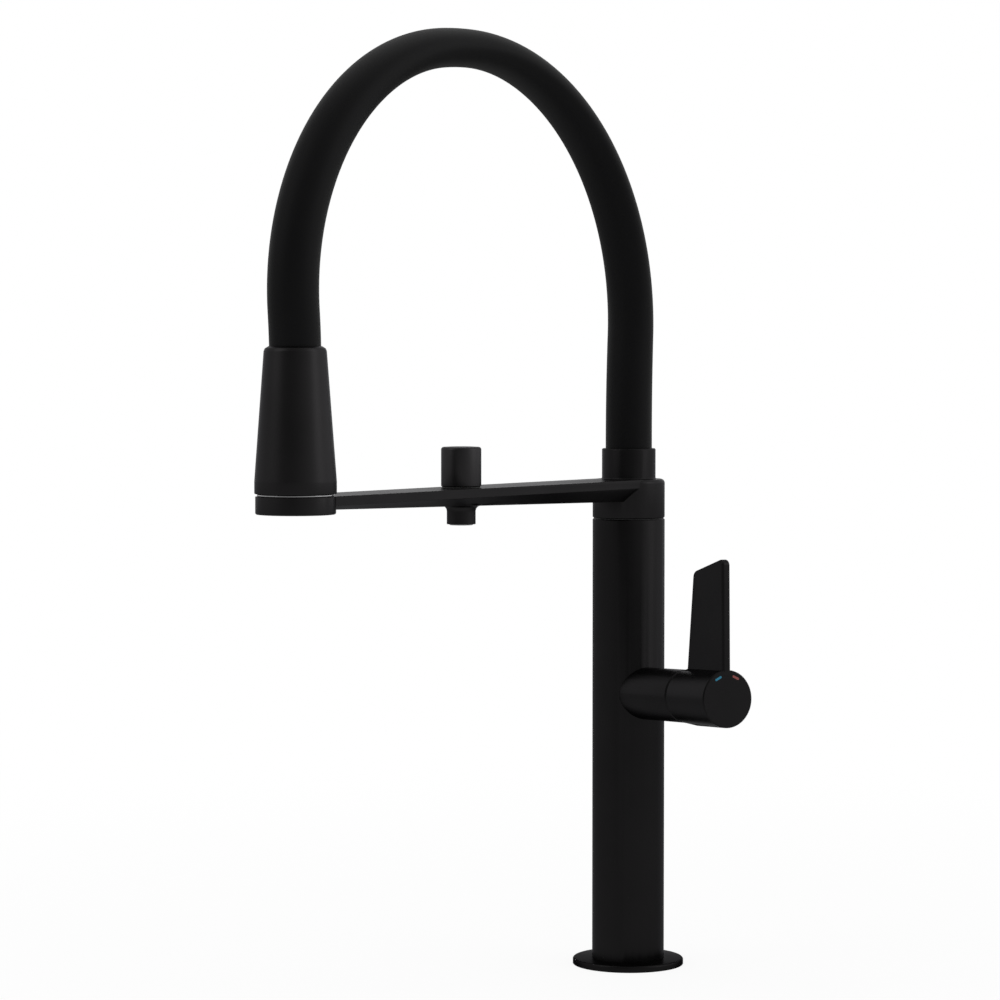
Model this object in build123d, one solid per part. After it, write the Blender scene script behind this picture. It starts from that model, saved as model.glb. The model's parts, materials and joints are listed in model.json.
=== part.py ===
from build123d import *
import math
import os

# A kitchen tap with a hose arch, a docked spray head, a side lever and an outlet for filtered water.
# Sizes are millimetres and degrees. The origin is on the column axis at the underside of the flange,
# +Z is up, +X is the way the lever points and -Y is the front of the sink.

# Clearances
RUNNING = 0.05            # radial, between parts that turn or slide in each other
SEATED = 0.02             # radial, between parts that stand still in each other
THREAD_GAP = 0.03         # radial, between plain threads
SOFT_GAP = 0.3            # between soft or curved faces of moving pieces

# Worktop and what clamps the tap to it
WORKTOP = 30.0
SHANK_R = 16.0
SHANK_BORE_R = 13.0
SHANK_LENGTH = 60.0
NECK_R = 14.8
NECK_LENGTH = 10.0
GASKET_R = 24.0
GASKET_THICKNESS = 3.0
WASHER_THICKNESS = 2.0
NUT_FLATS = 42.0
NUT_THICKNESS = 10.0

# Flange and column
FLANGE_R = 30.0
FLANGE_THICKNESS = 3.5
FLANGE_EDGE = 1.0
SEAL_INNER_R = 20.0
SEAL_OUTER_R = 26.0
SEAL_THICKNESS = 1.6
COLUMN_R = 19.5
COLUMN_WALL = 3.0
COLUMN_LENGTH = 239.0
COLUMN_EDGE = 0.5

# Water ways inside the column
CORE_GAP = 0.1            # radial, between the brass cores and the column
MANIFOLD_LENGTH = 34.5
MANIFOLD_SKIRT = 4.0      # of the manifold, inside its collar
PORT_CIRCLE_R = 8.0       # the circle that the hot, cold and filtered ways stand on
PORT_SPREAD = 60.0        # degrees from +X to the hot way, and to the cold one
INLET_R = 4.5             # tapping size of an M10 x 1 inlet
INLET_DEPTH = 11.0
INLET_SOCKET_R = 6.0
INLET_SPIGOT = 5.0        # of a socket, in the manifold
PIPE_R = 4.0
PIPE_WALL = 1.0
PIPE_SOCKET = 7.0
WATER_R = 2.5
MIXED_PIPE_X = 5.0
BLOCK_BELOW_AXIS = 22.0
BLOCK_ABOVE_AXIS = 24.0
BLOCK_SEAT = 13.5         # distance of the cartridge seat from the column axis

# Side stub and cartridge, measured outwards along the lever's axis
LEVER_HEIGHT = 148.0      # the lever's axis on the column axis
LEVER_TILT = 3.0          # degrees that the axis rises outwards
STUB_R = 14.0
STUB_BORE_R = 12.6
STUB_END = 60.6
STUB_CHAMFER = 0.8
SEAL_PLATE_THICKNESS = 1.0
CARTRIDGE_R = 12.4
CARTRIDGE_WALL = 1.6
CARTRIDGE_LENGTH = 37.5
CARTRIDGE_SHOULDER = 6.0  # length of the thinner top that the nut holds
CARTRIDGE_STEP = 1.2
CARTRIDGE_LIP = 1.5
NUT_RING_LENGTH = 10.0
NUT_RING_BORE_R = 9.0
FIXED_DISC_THICKNESS = 3.5
MOVING_DISC_R = 8.2
MOVING_DISC_THICKNESS = 3.0
MIXED_PORT_UP = 6.0
CARRIER_THICKNESS = 15.0
PIVOT_AT = 45.0           # the tilting pin
BALL_ARM = 12.0           # from the pin to the ball that moves the disc
FLOW_TRAVEL = 20.0        # degrees
BALL_R = 2.5
BALL_POCKET_GAP = 0.2
STEM_R = 2.5
ROTOR_START = 37.0
ROTOR_NECK_R = 7.3
ROTOR_NECK_LENGTH = 3.0
ROTOR_SLOT_HALF = 6.4
PIN_R = 1.25

# Lever
LEVER_R = 15.0
LEVER_GAP = 0.8
LEVER_LENGTH = 38.1
LEVER_SKIRT = 1.5
LEVER_SKIRT_DEPTH = 7.0
LEVER_EDGE = 0.6
STEM_SQUARE = 7.0
STEM_SQUARE_START = 57.0
STEM_SQUARE_LENGTH = 22.0
GRUB_R = 2.0
GRUB_AT = 73.0
BLADE_THICKNESS = 5.0
BLADE_FOOT = 64.1         # where the blade's inner edge meets the body
BLADE_INNER_UP = 65.8
BLADE_INNER_AT = 72.6
BLADE_PEAK_UP = 73.0
BLADE_PEAK_OUT = 2.2      # of the peak, past the end of the body
BLADE_EDGE = 1.4
BLADE_INNER_CORNER_R = 4.0
BLADE_OUTER_CORNER_R = 3.0
MARK_CIRCLE_R = 12.1
MARK_ANGLE = 26.0
MARK_LENGTH = 4.2
MARK_WIDTH = 1.2
MARK_DEPTH = 0.5

# Spigot that carries the arm
SWIVEL_GAP = 0.4          # seen between the column and the hub
SLIP_RING_THICKNESS = 0.3
SPIGOT_LENGTH = 20.0      # part that stands in the column
JOURNAL_R = 13.0
JOURNAL_LENGTH = 17.5     # above the column
SPIGOT_BORE_R = 5.0
STOP_GROOVE_AT = 3.6      # groove centres, above the column top
STOP_GROOVE_WIDTH = 3.4
RING_GROOVE_AT = 9.5
RING_GROOVE_WIDTH = 2.0
FILTER_GROOVE_AT = 14.6
FILTER_GROOVE_WIDTH = 3.4
GROOVE_DEPTH = 1.6
FILTER_WAY_R = 2.0
SWIVEL_GRUB_R = 1.6

# Docking arm
ARM_REST = 22.0           # degrees that the arm stands from the front towards the lever
HUB_R = 19.5
HUB_HEIGHT = 21.0
HUB_EDGE = 0.5
HUB_ROUND = 2.2           # of the top edge
HUB_CEILING = 3.7
REACH = 265.6
ARM_DROP = 0.8            # that the top falls from the hub to the docking ring
ARM_SIDE = 4.4
ARM_HUB_HALF = 16.0
ARM_RING_HALF = 14.5
ARM_HUB_DEPTH = 12.0
ARM_RING_DEPTH = 6.4
KEEL_HUB_HALF = 9.5
KEEL_RING_HALF = 9.0
DOCK_R = 19.4
DOCK_HEIGHT = 8.5
DOCK_BORE_R = 17.2
DOCK_LIP = 1.5
BUSH_WALL = 0.9
CHANNEL_R = 1.8

# Filtered water valve, knob and outlet
KNOB_AT = 141.6
KNOB_R = 10.25
KNOB_HEIGHT = 20.3
KNOB_GAP = 0.75
KNOB_EDGE = 1.2
KNOB_FOOT_EDGE = 0.4
KNOB_CAVITY_R = 8.4
KNOB_CAVITY_DEPTH = 7.0
VALVE_BORE_R = 7.0
VALVE_BORE_DEPTH = 8.2
VALVE_DISC_R = 6.0
VALVE_DISC_THICKNESS = 1.2
VALVE_CHAMBER = 2.4
VALVE_PORT_R = 1.8
VALVE_PORT_AT = 3.2
VALVE_FLANGE_R = 8.2
VALVE_FLANGE_THICKNESS = 0.5
VALVE_STEM_R = 3.0
VALVE_STEM_RISE = 17.0
KNOB_GRUB_R = 1.5
KNOB_GRUB_UP = 11.5
OUTLET_R = 7.35
OUTLET_BELOW_TOP = 18.9
OUTLET_FLARE = 3.0
AERATOR_R = 6.3
AERATOR_SEAT = 12.4       # below the hub top
AERATOR_PROUD = 0.5
AERATOR_WALL = 1.2
AERATOR_HOLE_R = 0.7
AERATOR_HOLE_RINGS = 3
AERATOR_RING_PITCH = 1.75

# Ferrule, nipple and hose
FERRULE_R = 14.5
FERRULE_HEIGHT = 16.5
FERRULE_EDGE = 0.5
FERRULE_FOOT_R = 0.6
NIPPLE_THREAD_R = 8.0
NIPPLE_COLLAR = 3.0
BARB_LENGTH = 10.0
BARB_GAP = 0.15           # radial, for the bend of the hose over its barb
NIPPLE_BORE_R = 2.8
NIPPLE_TAIL = 10.0
NIPPLE_RING_AT = 7.0      # below the hub top
HOSE_R = 12.5
HOSE_WALL = 2.2
HOSE_FLAT = 3.4           # that each side of the hose is pressed in where it is flattest
HOSE_SWELL = 1.0          # that it is wider there, out of the plane of the arch
HOSE_FLAT_AT = 0.39       # share of the hose's length where it is flattest
HOSE_FLAT_BEFORE = 0.37    # share of its length over which it flattens
HOSE_FLAT_AFTER = 0.56     # share of its length over which it is round again
HOSE_SECTIONS = 64
CONDUIT_R = 6.9
CONDUIT_WALL = 1.4
WATER_HOSE_R = 5.3
WATER_HOSE_WALL = 1.3
HOSE_START = 5.0          # above the hub top, inside the ferrule
HOSE_STRAIGHT = 21.1      # above the hub top, where the first bend starts
HOSE_RISE = 222.05        # centreline of the arch above the hub top
HOSE_TOP_SHIFT = 2.7      # of the highest point, from mid-reach towards the head
HOSE_LEAN = 2.7           # degrees that the leg leans out over the column
HOSE_LEAN_R = 1200.0
HOSE_SPLIT = 74.0         # heading in degrees where the bend changes radius
HEAD_LEAN = 4.7
HEAD_LEAN_R = 300.0
HEAD_SPLIT = 84.5

# Spray head
TRIM_R = 18.6
TRIM_THICKNESS = 0.8
TRIM_GAP = 0.3            # over the top of the docking ring
HEAD_GAP = 0.2            # between the trim and the shell
HEAD_FOOT_R = 19.8
HEAD_FOOT_EDGE = 0.5
HEAD_STRAIGHT = 6.0
HEAD_TAPER_TOP_R = 15.15
HEAD_TAPER_LENGTH = 62.4
HEAD_SHOULDER_R = 14.6
HEAD_SHOULDER_RISE = 1.3
HEAD_MOUTH_R = 12.8
HEAD_MOUTH_RISE = 1.1
HEAD_WALL = 2.2
HOSE_IN_HEAD = 8.0        # length of the hose below the top of the head
FACE_SEAT = 7.8           # spray face below the docking ring's top
FACE_THICKNESS = 3.0
WATERWAY_R = 11.0
WATERWAY_WALL = 2.0
WATERWAY_LENGTH = 36.0
SWIVEL_NUT_R = 8.6
SWIVEL_NUT_LENGTH = 12.0
CHECK_VALVE_R = 6.0
CHECK_VALVE_LENGTH = 10.0
NOZZLE_R = 0.9
NOZZLE_BORE_R = 0.4
NOZZLE_RINGS = 3
NOZZLE_PITCH = 3.2
NOZZLE_PER_RING = 6
NOZZLE_PLATE = 1.4

# Levels and radii that follow from the sizes above
COLUMN_TOP = FLANGE_THICKNESS + COLUMN_LENGTH
COLUMN_BORE_R = COLUMN_R - COLUMN_WALL
CORE_R = COLUMN_BORE_R - CORE_GAP
HUB_BOTTOM = COLUMN_TOP + SWIVEL_GAP
ARM_TOP = HUB_BOTTOM + HUB_HEIGHT
SPIGOT_TOP = COLUMN_TOP + JOURNAL_LENGTH
MANIFOLD_TOP = FLANGE_THICKNESS + MANIFOLD_LENGTH
INLET_BOTTOM = NECK_LENGTH + SOFT_GAP
MANIFOLD_FOOT = INLET_BOTTOM + INLET_DEPTH
BLOCK_BOTTOM = LEVER_HEIGHT - BLOCK_BELOW_AXIS
BLOCK_TOP = LEVER_HEIGHT + BLOCK_ABOVE_AXIS
SPIGOT_FOOT = COLUMN_TOP - SPIGOT_LENGTH
CARTRIDGE_START = BLOCK_SEAT + SEAL_PLATE_THICKNESS
CARTRIDGE_END = CARTRIDGE_START + CARTRIDGE_LENGTH
CARTRIDGE_BORE_R = CARTRIDGE_R - CARTRIDGE_WALL
INNER_R = CARTRIDGE_BORE_R - RUNNING
NUT_RING_START = CARTRIDGE_END - CARTRIDGE_SHOULDER
MOVING_DISC_START = CARTRIDGE_START + FIXED_DISC_THICKNESS
CARRIER_START = MOVING_DISC_START + MOVING_DISC_THICKNESS
BALL_AT = PIVOT_AT - BALL_ARM
DISC_TRAVEL = BALL_ARM * math.radians(FLOW_TRAVEL)
LEVER_START = STUB_END + LEVER_GAP
LEVER_END = LEVER_START + LEVER_LENGTH
HOT_Y = PORT_CIRCLE_R * math.sin(math.radians(PORT_SPREAD))
HOT_X = PORT_CIRCLE_R * math.cos(math.radians(PORT_SPREAD))
FILTER_GROOVE_Z = COLUMN_TOP + FILTER_GROOVE_AT
DOCK_TOP = ARM_TOP - ARM_DROP
KNOB_SEAT = ARM_TOP - ARM_DROP * (KNOB_AT + VALVE_FLANGE_R) / REACH
KNOB_BOTTOM = KNOB_SEAT + KNOB_GAP
VALVE_SEAT = KNOB_SEAT - VALVE_BORE_DEPTH
OUTLET_BOTTOM = ARM_TOP - OUTLET_BELOW_TOP
TRIM_BOTTOM = DOCK_TOP + TRIM_GAP
HEAD_BOTTOM = TRIM_BOTTOM + TRIM_THICKNESS + HEAD_GAP
HEAD_TAPER_TOP = HEAD_BOTTOM + HEAD_STRAIGHT + HEAD_TAPER_LENGTH
HEAD_TOP = HEAD_TAPER_TOP + HEAD_SHOULDER_RISE + HEAD_MOUTH_RISE
BUSH_R = DOCK_BORE_R - SEATED
BUSH_BORE_R = BUSH_R - BUSH_WALL
FACE_R = BUSH_BORE_R - SOFT_GAP
FACE_BOTTOM = DOCK_TOP - FACE_SEAT
HOSE_END = HEAD_TOP - HOSE_IN_HEAD
SMALL = 0.01

LEVER_AXIS = Pos(0, 0, LEVER_HEIGHT) * Rot(0, 90 - LEVER_TILT, 0)
ARM = Rot(0, 0, ARM_REST - 90)


def rod(radius, low, high):
    """A cylinder about the Z axis between two levels."""
    return Pos(0, 0, low) * Cylinder(radius, high - low, align=(Align.CENTER, Align.CENTER, Align.MIN))


def tube(outer, inner, low, high):
    return rod(outer, low, high) - rod(inner, low, high)


def turned(points):
    """A solid turned about the Z axis from (radius, level) points."""
    return revolve(Plane.XZ * make_face(Polyline(*points, close=True)), Axis.Z)


def chamfered_rod(radius, low, high, top_edge, bottom_edge=SMALL):
    return turned([
        (0, low),
        (radius - bottom_edge, low),
        (radius, low + bottom_edge),
        (radius, high - top_edge),
        (radius - top_edge, high),
        (0, high),
    ])


def ports(radius, low, high):
    """The hot and the cold way, side by side on the port circle."""
    way = rod(radius, low, high)
    return Pos(HOT_X, HOT_Y, 0) * way + Pos(HOT_X, -HOT_Y, 0) * way


def filter_way(radius, low, high):
    return Pos(-PORT_CIRCLE_R, 0, 0) * rod(radius, low, high)


# Fixing

def base_flange():
    plate = turned([
        (NECK_R + RUNNING, 0),
        (FLANGE_R, 0),
        (FLANGE_R, FLANGE_THICKNESS - FLANGE_EDGE),
        (FLANGE_R - FLANGE_EDGE, FLANGE_THICKNESS),
        (NECK_R + RUNNING, FLANGE_THICKNESS),
    ])
    return plate - tube(SEAL_OUTER_R, SEAL_INNER_R, 0, SEAL_THICKNESS)


def base_seal():
    return tube(SEAL_OUTER_R - SEATED, SEAL_INNER_R + SEATED, 0, SEAL_THICKNESS)


def threaded_shank():
    return rod(SHANK_R, -SHANK_LENGTH, 0) + rod(NECK_R, 0, NECK_LENGTH) - rod(
        SHANK_BORE_R, -SHANK_LENGTH, NECK_LENGTH)


def clamp_gasket():
    return tube(GASKET_R, SHANK_R + RUNNING, -WORKTOP - GASKET_THICKNESS, -WORKTOP)


def clamp_washer():
    top = -WORKTOP - GASKET_THICKNESS
    return tube(GASKET_R, SHANK_R + RUNNING, top - WASHER_THICKNESS, top)


def mounting_nut():
    top = -WORKTOP - GASKET_THICKNESS - WASHER_THICKNESS
    corner_r = NUT_FLATS / math.sqrt(3)
    hexagon = extrude(Pos(0, 0, top) * RegularPolygon(corner_r, 6), amount=-NUT_THICKNESS)
    return hexagon - rod(SHANK_R + THREAD_GAP, top - NUT_THICKNESS, top)


# Column

def along_lever(shape):
    return LEVER_AXIS * shape


def column_body():
    wall = chamfered_rod(COLUMN_R, FLANGE_THICKNESS, COLUMN_TOP, COLUMN_EDGE)
    stub = along_lever(chamfered_rod(STUB_R, 0, STUB_END, STUB_CHAMFER))
    bore = rod(COLUMN_BORE_R, FLANGE_THICKNESS, COLUMN_TOP)
    stub_bore = along_lever(rod(STUB_BORE_R, BLOCK_SEAT, STUB_END))
    return wall + stub - bore - stub_bore


def manifold_collar():
    """Joins the neck of the shank to the manifold, round the inlet sockets."""
    return tube(CORE_R, NECK_R + THREAD_GAP, FLANGE_THICKNESS, MANIFOLD_FOOT + MANIFOLD_SKIRT)


def inlet_manifold():
    body = rod(NECK_R, MANIFOLD_FOOT, MANIFOLD_FOOT + MANIFOLD_SKIRT)
    body += rod(CORE_R, MANIFOLD_FOOT + MANIFOLD_SKIRT, MANIFOLD_TOP)
    for radius, low, high in (
        (PIPE_R + THREAD_GAP, MANIFOLD_FOOT, MANIFOLD_FOOT + INLET_SPIGOT),
        (WATER_R, MANIFOLD_FOOT, MANIFOLD_TOP),
        (PIPE_R + SEATED, MANIFOLD_TOP - PIPE_SOCKET, MANIFOLD_TOP),
    ):
        body -= ports(radius, low, high)
        body -= filter_way(radius, low, high)
    return body


def inlet_socket(x, y):
    body = rod(INLET_SOCKET_R, INLET_BOTTOM, MANIFOLD_FOOT)
    body += rod(PIPE_R, MANIFOLD_FOOT, MANIFOLD_FOOT + INLET_SPIGOT)
    body -= rod(INLET_R, INLET_BOTTOM, INLET_BOTTOM + INLET_DEPTH)
    return Pos(x, y, 0) * (body - rod(WATER_R, INLET_BOTTOM, MANIFOLD_FOOT + INLET_SPIGOT))


def hot_socket():
    return inlet_socket(HOT_X, HOT_Y)


def cold_socket():
    return inlet_socket(HOT_X, -HOT_Y)


def filtered_socket():
    return inlet_socket(-PORT_CIRCLE_R, 0)


def pipe(x, y, low, high):
    return Pos(x, y, 0) * tube(PIPE_R, PIPE_R - PIPE_WALL, low, high)


def hot_riser():
    return pipe(HOT_X, HOT_Y, MANIFOLD_TOP - PIPE_SOCKET, BLOCK_BOTTOM + PIPE_SOCKET)


def cold_riser():
    return pipe(HOT_X, -HOT_Y, MANIFOLD_TOP - PIPE_SOCKET, BLOCK_BOTTOM + PIPE_SOCKET)


def filtered_riser():
    return pipe(-PORT_CIRCLE_R, 0, MANIFOLD_TOP - PIPE_SOCKET, SPIGOT_FOOT + PIPE_SOCKET)


def mixed_riser():
    return pipe(MIXED_PIPE_X, 0, BLOCK_TOP - PIPE_SOCKET, SPIGOT_FOOT + PIPE_SOCKET)


def seat_ports(radius, low, high):
    """The hot, cold and mixed ways through a seat square to the lever's axis."""
    way = rod(radius, low, high)
    mixed = Pos(-MIXED_PORT_UP, 0, 0) * way
    return Pos(0, HOT_Y, 0) * way + Pos(0, -HOT_Y, 0) * way + mixed


def mixer_block():
    seat_cut = along_lever(rod(STUB_BORE_R + SEATED, BLOCK_SEAT, COLUMN_R + COLUMN_R))
    body = rod(CORE_R, BLOCK_BOTTOM, BLOCK_TOP) - seat_cut
    body -= ports(PIPE_R + SEATED, BLOCK_BOTTOM, BLOCK_BOTTOM + PIPE_SOCKET)
    body -= ports(WATER_R, BLOCK_BOTTOM, LEVER_HEIGHT)
    body -= filter_way(PIPE_R + 3 * CORE_GAP, BLOCK_BOTTOM, BLOCK_TOP)
    body -= Pos(MIXED_PIPE_X, 0, 0) * rod(PIPE_R + SEATED, BLOCK_TOP - PIPE_SOCKET, BLOCK_TOP)
    body -= Pos(MIXED_PIPE_X, 0, 0) * rod(WATER_R, LEVER_HEIGHT + MIXED_PORT_UP, BLOCK_TOP)
    return body - along_lever(seat_ports(WATER_R, HOT_X, BLOCK_SEAT))


# Cartridge, turned about the lever's axis

def cartridge_seal():
    plate = rod(CARTRIDGE_R, BLOCK_SEAT, CARTRIDGE_START)
    return along_lever(plate - seat_ports(WATER_R, BLOCK_SEAT, CARTRIDGE_START))


def cartridge_body():
    top_r = CARTRIDGE_R - CARTRIDGE_STEP
    shell = rod(CARTRIDGE_R, CARTRIDGE_START, NUT_RING_START) + rod(top_r, NUT_RING_START, CARTRIDGE_END)
    shell -= rod(CARTRIDGE_BORE_R - CARTRIDGE_STEP, NUT_RING_START, CARTRIDGE_END - CARTRIDGE_LIP)
    shell -= rod(CARTRIDGE_BORE_R, CARTRIDGE_START, NUT_RING_START)
    return along_lever(shell - rod(ROTOR_NECK_R + RUNNING, NUT_RING_START, CARTRIDGE_END))


def cartridge_nut():
    top_r = CARTRIDGE_R - CARTRIDGE_STEP
    ring = tube(STUB_BORE_R - THREAD_GAP, top_r + THREAD_GAP, NUT_RING_START, CARTRIDGE_END)
    collar = tube(STUB_BORE_R - THREAD_GAP, NUT_RING_BORE_R, CARTRIDGE_END, NUT_RING_START + NUT_RING_LENGTH)
    return along_lever(ring + collar)


def mixing_disc_fixed():
    disc = rod(INNER_R, CARTRIDGE_START, MOVING_DISC_START)
    return along_lever(disc - seat_ports(WATER_R, CARTRIDGE_START, MOVING_DISC_START))


def disc_place(shape):
    """The moving disc starts half its travel below the axis."""
    return along_lever(Pos(DISC_TRAVEL / 2, 0, 0) * shape)


def mixing_disc_moving():
    disc = rod(MOVING_DISC_R, MOVING_DISC_START, CARRIER_START)
    chamber = rod(MOVING_DISC_R / 2, MOVING_DISC_START, MOVING_DISC_START + MOVING_DISC_THICKNESS / 2)
    return disc_place(disc - chamber)


def disc_carrier():
    top = CARRIER_START + CARRIER_THICKNESS
    pocket_r = BALL_R + BALL_POCKET_GAP
    mouth_r = pocket_r + BALL_R
    block = disc_place(rod(MOVING_DISC_R, CARRIER_START, top))
    pocket = rod(pocket_r, BALL_AT - pocket_r, top)
    cone = turned([(0, BALL_AT), (pocket_r, BALL_AT), (mouth_r, top), (0, top)])
    return block - along_lever(pocket + cone)


def cartridge_rotor():
    step_r = INNER_R - CARTRIDGE_STEP
    neck_end = CARTRIDGE_END + ROTOR_NECK_LENGTH
    body = rod(INNER_R, ROTOR_START, NUT_RING_START - RUNNING)
    body += rod(step_r, NUT_RING_START - RUNNING, CARTRIDGE_END - CARTRIDGE_LIP - RUNNING)
    body += rod(ROTOR_NECK_R, CARTRIDGE_END - CARTRIDGE_LIP - RUNNING, neck_end)
    width = 2 * (STEM_R + SOFT_GAP)
    height = 2 * ROTOR_SLOT_HALF
    slot = Pos(0, 0, ROTOR_START) * Box(
        height, width, neck_end - ROTOR_START, align=(Align.CENTER, Align.CENTER, Align.MIN))
    return along_lever(body - slot - pin_rod(PIN_R + SEATED, 2 * INNER_R))


def pin_rod(radius, length):
    return Pos(0, 0, PIVOT_AT) * Rot(90, 0, 0) * Cylinder(radius, length)


def stem_pin():
    return along_lever(pin_rod(PIN_R, 2 * (INNER_R - CARTRIDGE_STEP)))


def cartridge_stem():
    square = Pos(0, 0, STEM_SQUARE_START) * Box(
        STEM_SQUARE, STEM_SQUARE, STEM_SQUARE_LENGTH, align=(Align.CENTER, Align.CENTER, Align.MIN))
    ball = Pos(0, 0, BALL_AT) * Sphere(BALL_R)
    shaft = rod(STEM_R - BALL_POCKET_GAP, BALL_AT, PIVOT_AT) + rod(STEM_R, PIVOT_AT - STEM_R, STEM_SQUARE_START)
    return along_lever(ball + shaft + square - pin_rod(PIN_R + RUNNING, 2 * STEM_SQUARE))


# Lever

def blade():
    """A flat plate in the plane of the axis. Up is -X in the frame of the lever's axis."""
    outline = Polyline(
        (-(LEVER_R - LEVER_SKIRT), BLADE_FOOT),
        (-BLADE_INNER_UP, BLADE_INNER_AT),
        (-BLADE_PEAK_UP, LEVER_END + BLADE_PEAK_OUT),
        (-LEVER_R, LEVER_END),
        (-(LEVER_R - LEVER_SKIRT), LEVER_END),
        close=True)
    peak, inner = make_face(outline).vertices().sort_by(Axis.X)[:2]
    face = fillet(peak, BLADE_OUTER_CORNER_R)
    face = fillet(face.vertices().sort_by_distance(inner)[0], BLADE_INNER_CORNER_R)
    plate = extrude(Plane.XZ * face, amount=BLADE_THICKNESS / 2, both=True)
    sides = plate.faces().sort_by(Axis.Y)
    return fillet(sides[0].edges() + sides[-1].edges(), BLADE_EDGE)


def mark(angle, gap):
    slot = SlotOverall(MARK_LENGTH + 2 * gap, MARK_WIDTH + 2 * gap)
    bar = extrude(Pos(0, 0, LEVER_END) * Rot(0, 0, 180 + angle) * Pos(MARK_CIRCLE_R, 0, 0) * Rot(0, 0, 90) * slot,
                  amount=-MARK_DEPTH)
    return bar


def stem_socket():
    side = STEM_SQUARE + 2 * SEATED
    start = LEVER_START + LEVER_SKIRT_DEPTH
    return Pos(0, 0, start) * Box(
        side, side, STEM_SQUARE_START + STEM_SQUARE_LENGTH - start, align=(Align.CENTER, Align.CENTER, Align.MIN))


def lever_handle():
    body = chamfered_rod(LEVER_R, LEVER_START, LEVER_END, LEVER_EDGE, LEVER_EDGE)
    cavity = rod(LEVER_R - LEVER_SKIRT, LEVER_START, LEVER_START + LEVER_SKIRT_DEPTH)
    body = body + blade() - cavity - stem_socket() - grub_rod(GRUB_R + SEATED)
    for angle in (MARK_ANGLE, -MARK_ANGLE):
        body -= mark(angle, SEATED)
    return along_lever(body)


def grub_rod(radius):
    """From the underside of the lever in to the square of the stem."""
    length = LEVER_R - STEM_SQUARE / 2
    return Pos(STEM_SQUARE / 2, 0, GRUB_AT) * Rot(0, 90, 0) * Cylinder(
        radius, length, align=(Align.CENTER, Align.CENTER, Align.MIN))


def handle_grub_screw():
    length = LEVER_R - STEM_SQUARE / 2 - LEVER_SKIRT
    screw = Pos(STEM_SQUARE / 2, 0, GRUB_AT) * Rot(0, 90, 0) * Cylinder(
        GRUB_R, length, align=(Align.CENTER, Align.CENTER, Align.MIN))
    return along_lever(screw)


def cold_mark():
    return along_lever(mark(MARK_ANGLE, 0))


def hot_mark():
    return along_lever(mark(-MARK_ANGLE, 0))


# Spigot and swivel

def groove(centre, width, depth=GROOVE_DEPTH):
    middle = COLUMN_TOP + centre
    return tube(JOURNAL_R, JOURNAL_R - depth, middle - width / 2, middle + width / 2)


def spout_spigot():
    body = rod(CORE_R, SPIGOT_FOOT, COLUMN_TOP) + rod(JOURNAL_R, COLUMN_TOP, SPIGOT_TOP)
    body -= rod(SPIGOT_BORE_R, SPIGOT_FOOT + PIPE_SOCKET, SPIGOT_TOP)
    body -= Pos(MIXED_PIPE_X, 0, 0) * rod(PIPE_R + SEATED, SPIGOT_FOOT, SPIGOT_FOOT + PIPE_SOCKET)
    body -= filter_way(PIPE_R + SEATED, SPIGOT_FOOT, SPIGOT_FOOT + PIPE_SOCKET)
    body -= filter_way(FILTER_WAY_R, SPIGOT_FOOT, FILTER_GROOVE_Z)
    body -= Pos(0, 0, FILTER_GROOVE_Z) * Rot(0, -90, 0) * rod(CHANNEL_R / 2, PORT_CIRCLE_R, JOURNAL_R)
    body -= groove(STOP_GROOVE_AT, STOP_GROOVE_WIDTH)
    body -= groove(RING_GROOVE_AT, RING_GROOVE_WIDTH)
    return body - groove(FILTER_GROOVE_AT, FILTER_GROOVE_WIDTH)


def spigot_ring():
    """A square-cut seal in the groove of the journal."""
    middle = COLUMN_TOP + RING_GROOVE_AT
    half = RING_GROOVE_WIDTH / 2 - SEATED
    return tube(JOURNAL_R, JOURNAL_R - GROOVE_DEPTH + SEATED, middle - half, middle + half)


def slip_ring():
    return tube(COLUMN_R - 1.5 * COLUMN_EDGE, JOURNAL_R + SOFT_GAP, COLUMN_TOP, COLUMN_TOP + SLIP_RING_THICKNESS)


def swivel_grub_screw():
    """At the back of the hub, with its tip in the stop groove."""
    tip = JOURNAL_R - GROOVE_DEPTH / 2
    screw = Pos(0, 0, COLUMN_TOP + STOP_GROOVE_AT) * Rot(0, -90, 0) * rod(SWIVEL_GRUB_R, tip, HUB_R - SOFT_GAP)
    return ARM * screw


# Docking arm

def section(half, keel_half, top, depth, at):
    """The arm's six-sided section at a distance from the column axis."""
    points = [
        (-half, top),
        (half, top),
        (half, top - ARM_SIDE),
        (keel_half, top - depth),
        (-keel_half, top - depth),
        (-half, top - ARM_SIDE),
    ]
    return Plane(origin=(at, 0, 0), x_dir=(0, 1, 0), z_dir=(1, 0, 0)) * make_face(Polyline(*points, close=True))


def outlet_boss():
    """The boss of the filtered outlet, with a hollow flare into the underside of the arm."""
    along = KNOB_AT / REACH
    underside = ARM_TOP - ARM_HUB_DEPTH + (ARM_HUB_DEPTH - ARM_RING_DEPTH - ARM_DROP) * along
    flare_low = underside - OUTLET_FLARE
    wide_r = OUTLET_R + OUTLET_FLARE
    centre = (wide_r, 0, flare_low)
    waist = OUTLET_FLARE * math.sqrt(0.5)
    lines = Curve() + [
        Line((0, 0, OUTLET_BOTTOM), (OUTLET_R, 0, OUTLET_BOTTOM)),
        Line((OUTLET_R, 0, OUTLET_BOTTOM), (OUTLET_R, 0, flare_low)),
        ThreePointArc((OUTLET_R, 0, flare_low), (centre[0] - waist, 0, flare_low + waist), (wide_r, 0, underside)),
        Line((wide_r, 0, underside), (wide_r, 0, underside + SOFT_GAP)),
        Line((wide_r, 0, underside + SOFT_GAP), (0, 0, underside + OUTLET_FLARE)),
        Line((0, 0, underside + OUTLET_FLARE), (0, 0, OUTLET_BOTTOM)),
    ]
    return Pos(KNOB_AT, 0, 0) * revolve(make_face(lines), Axis.Z)


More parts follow.
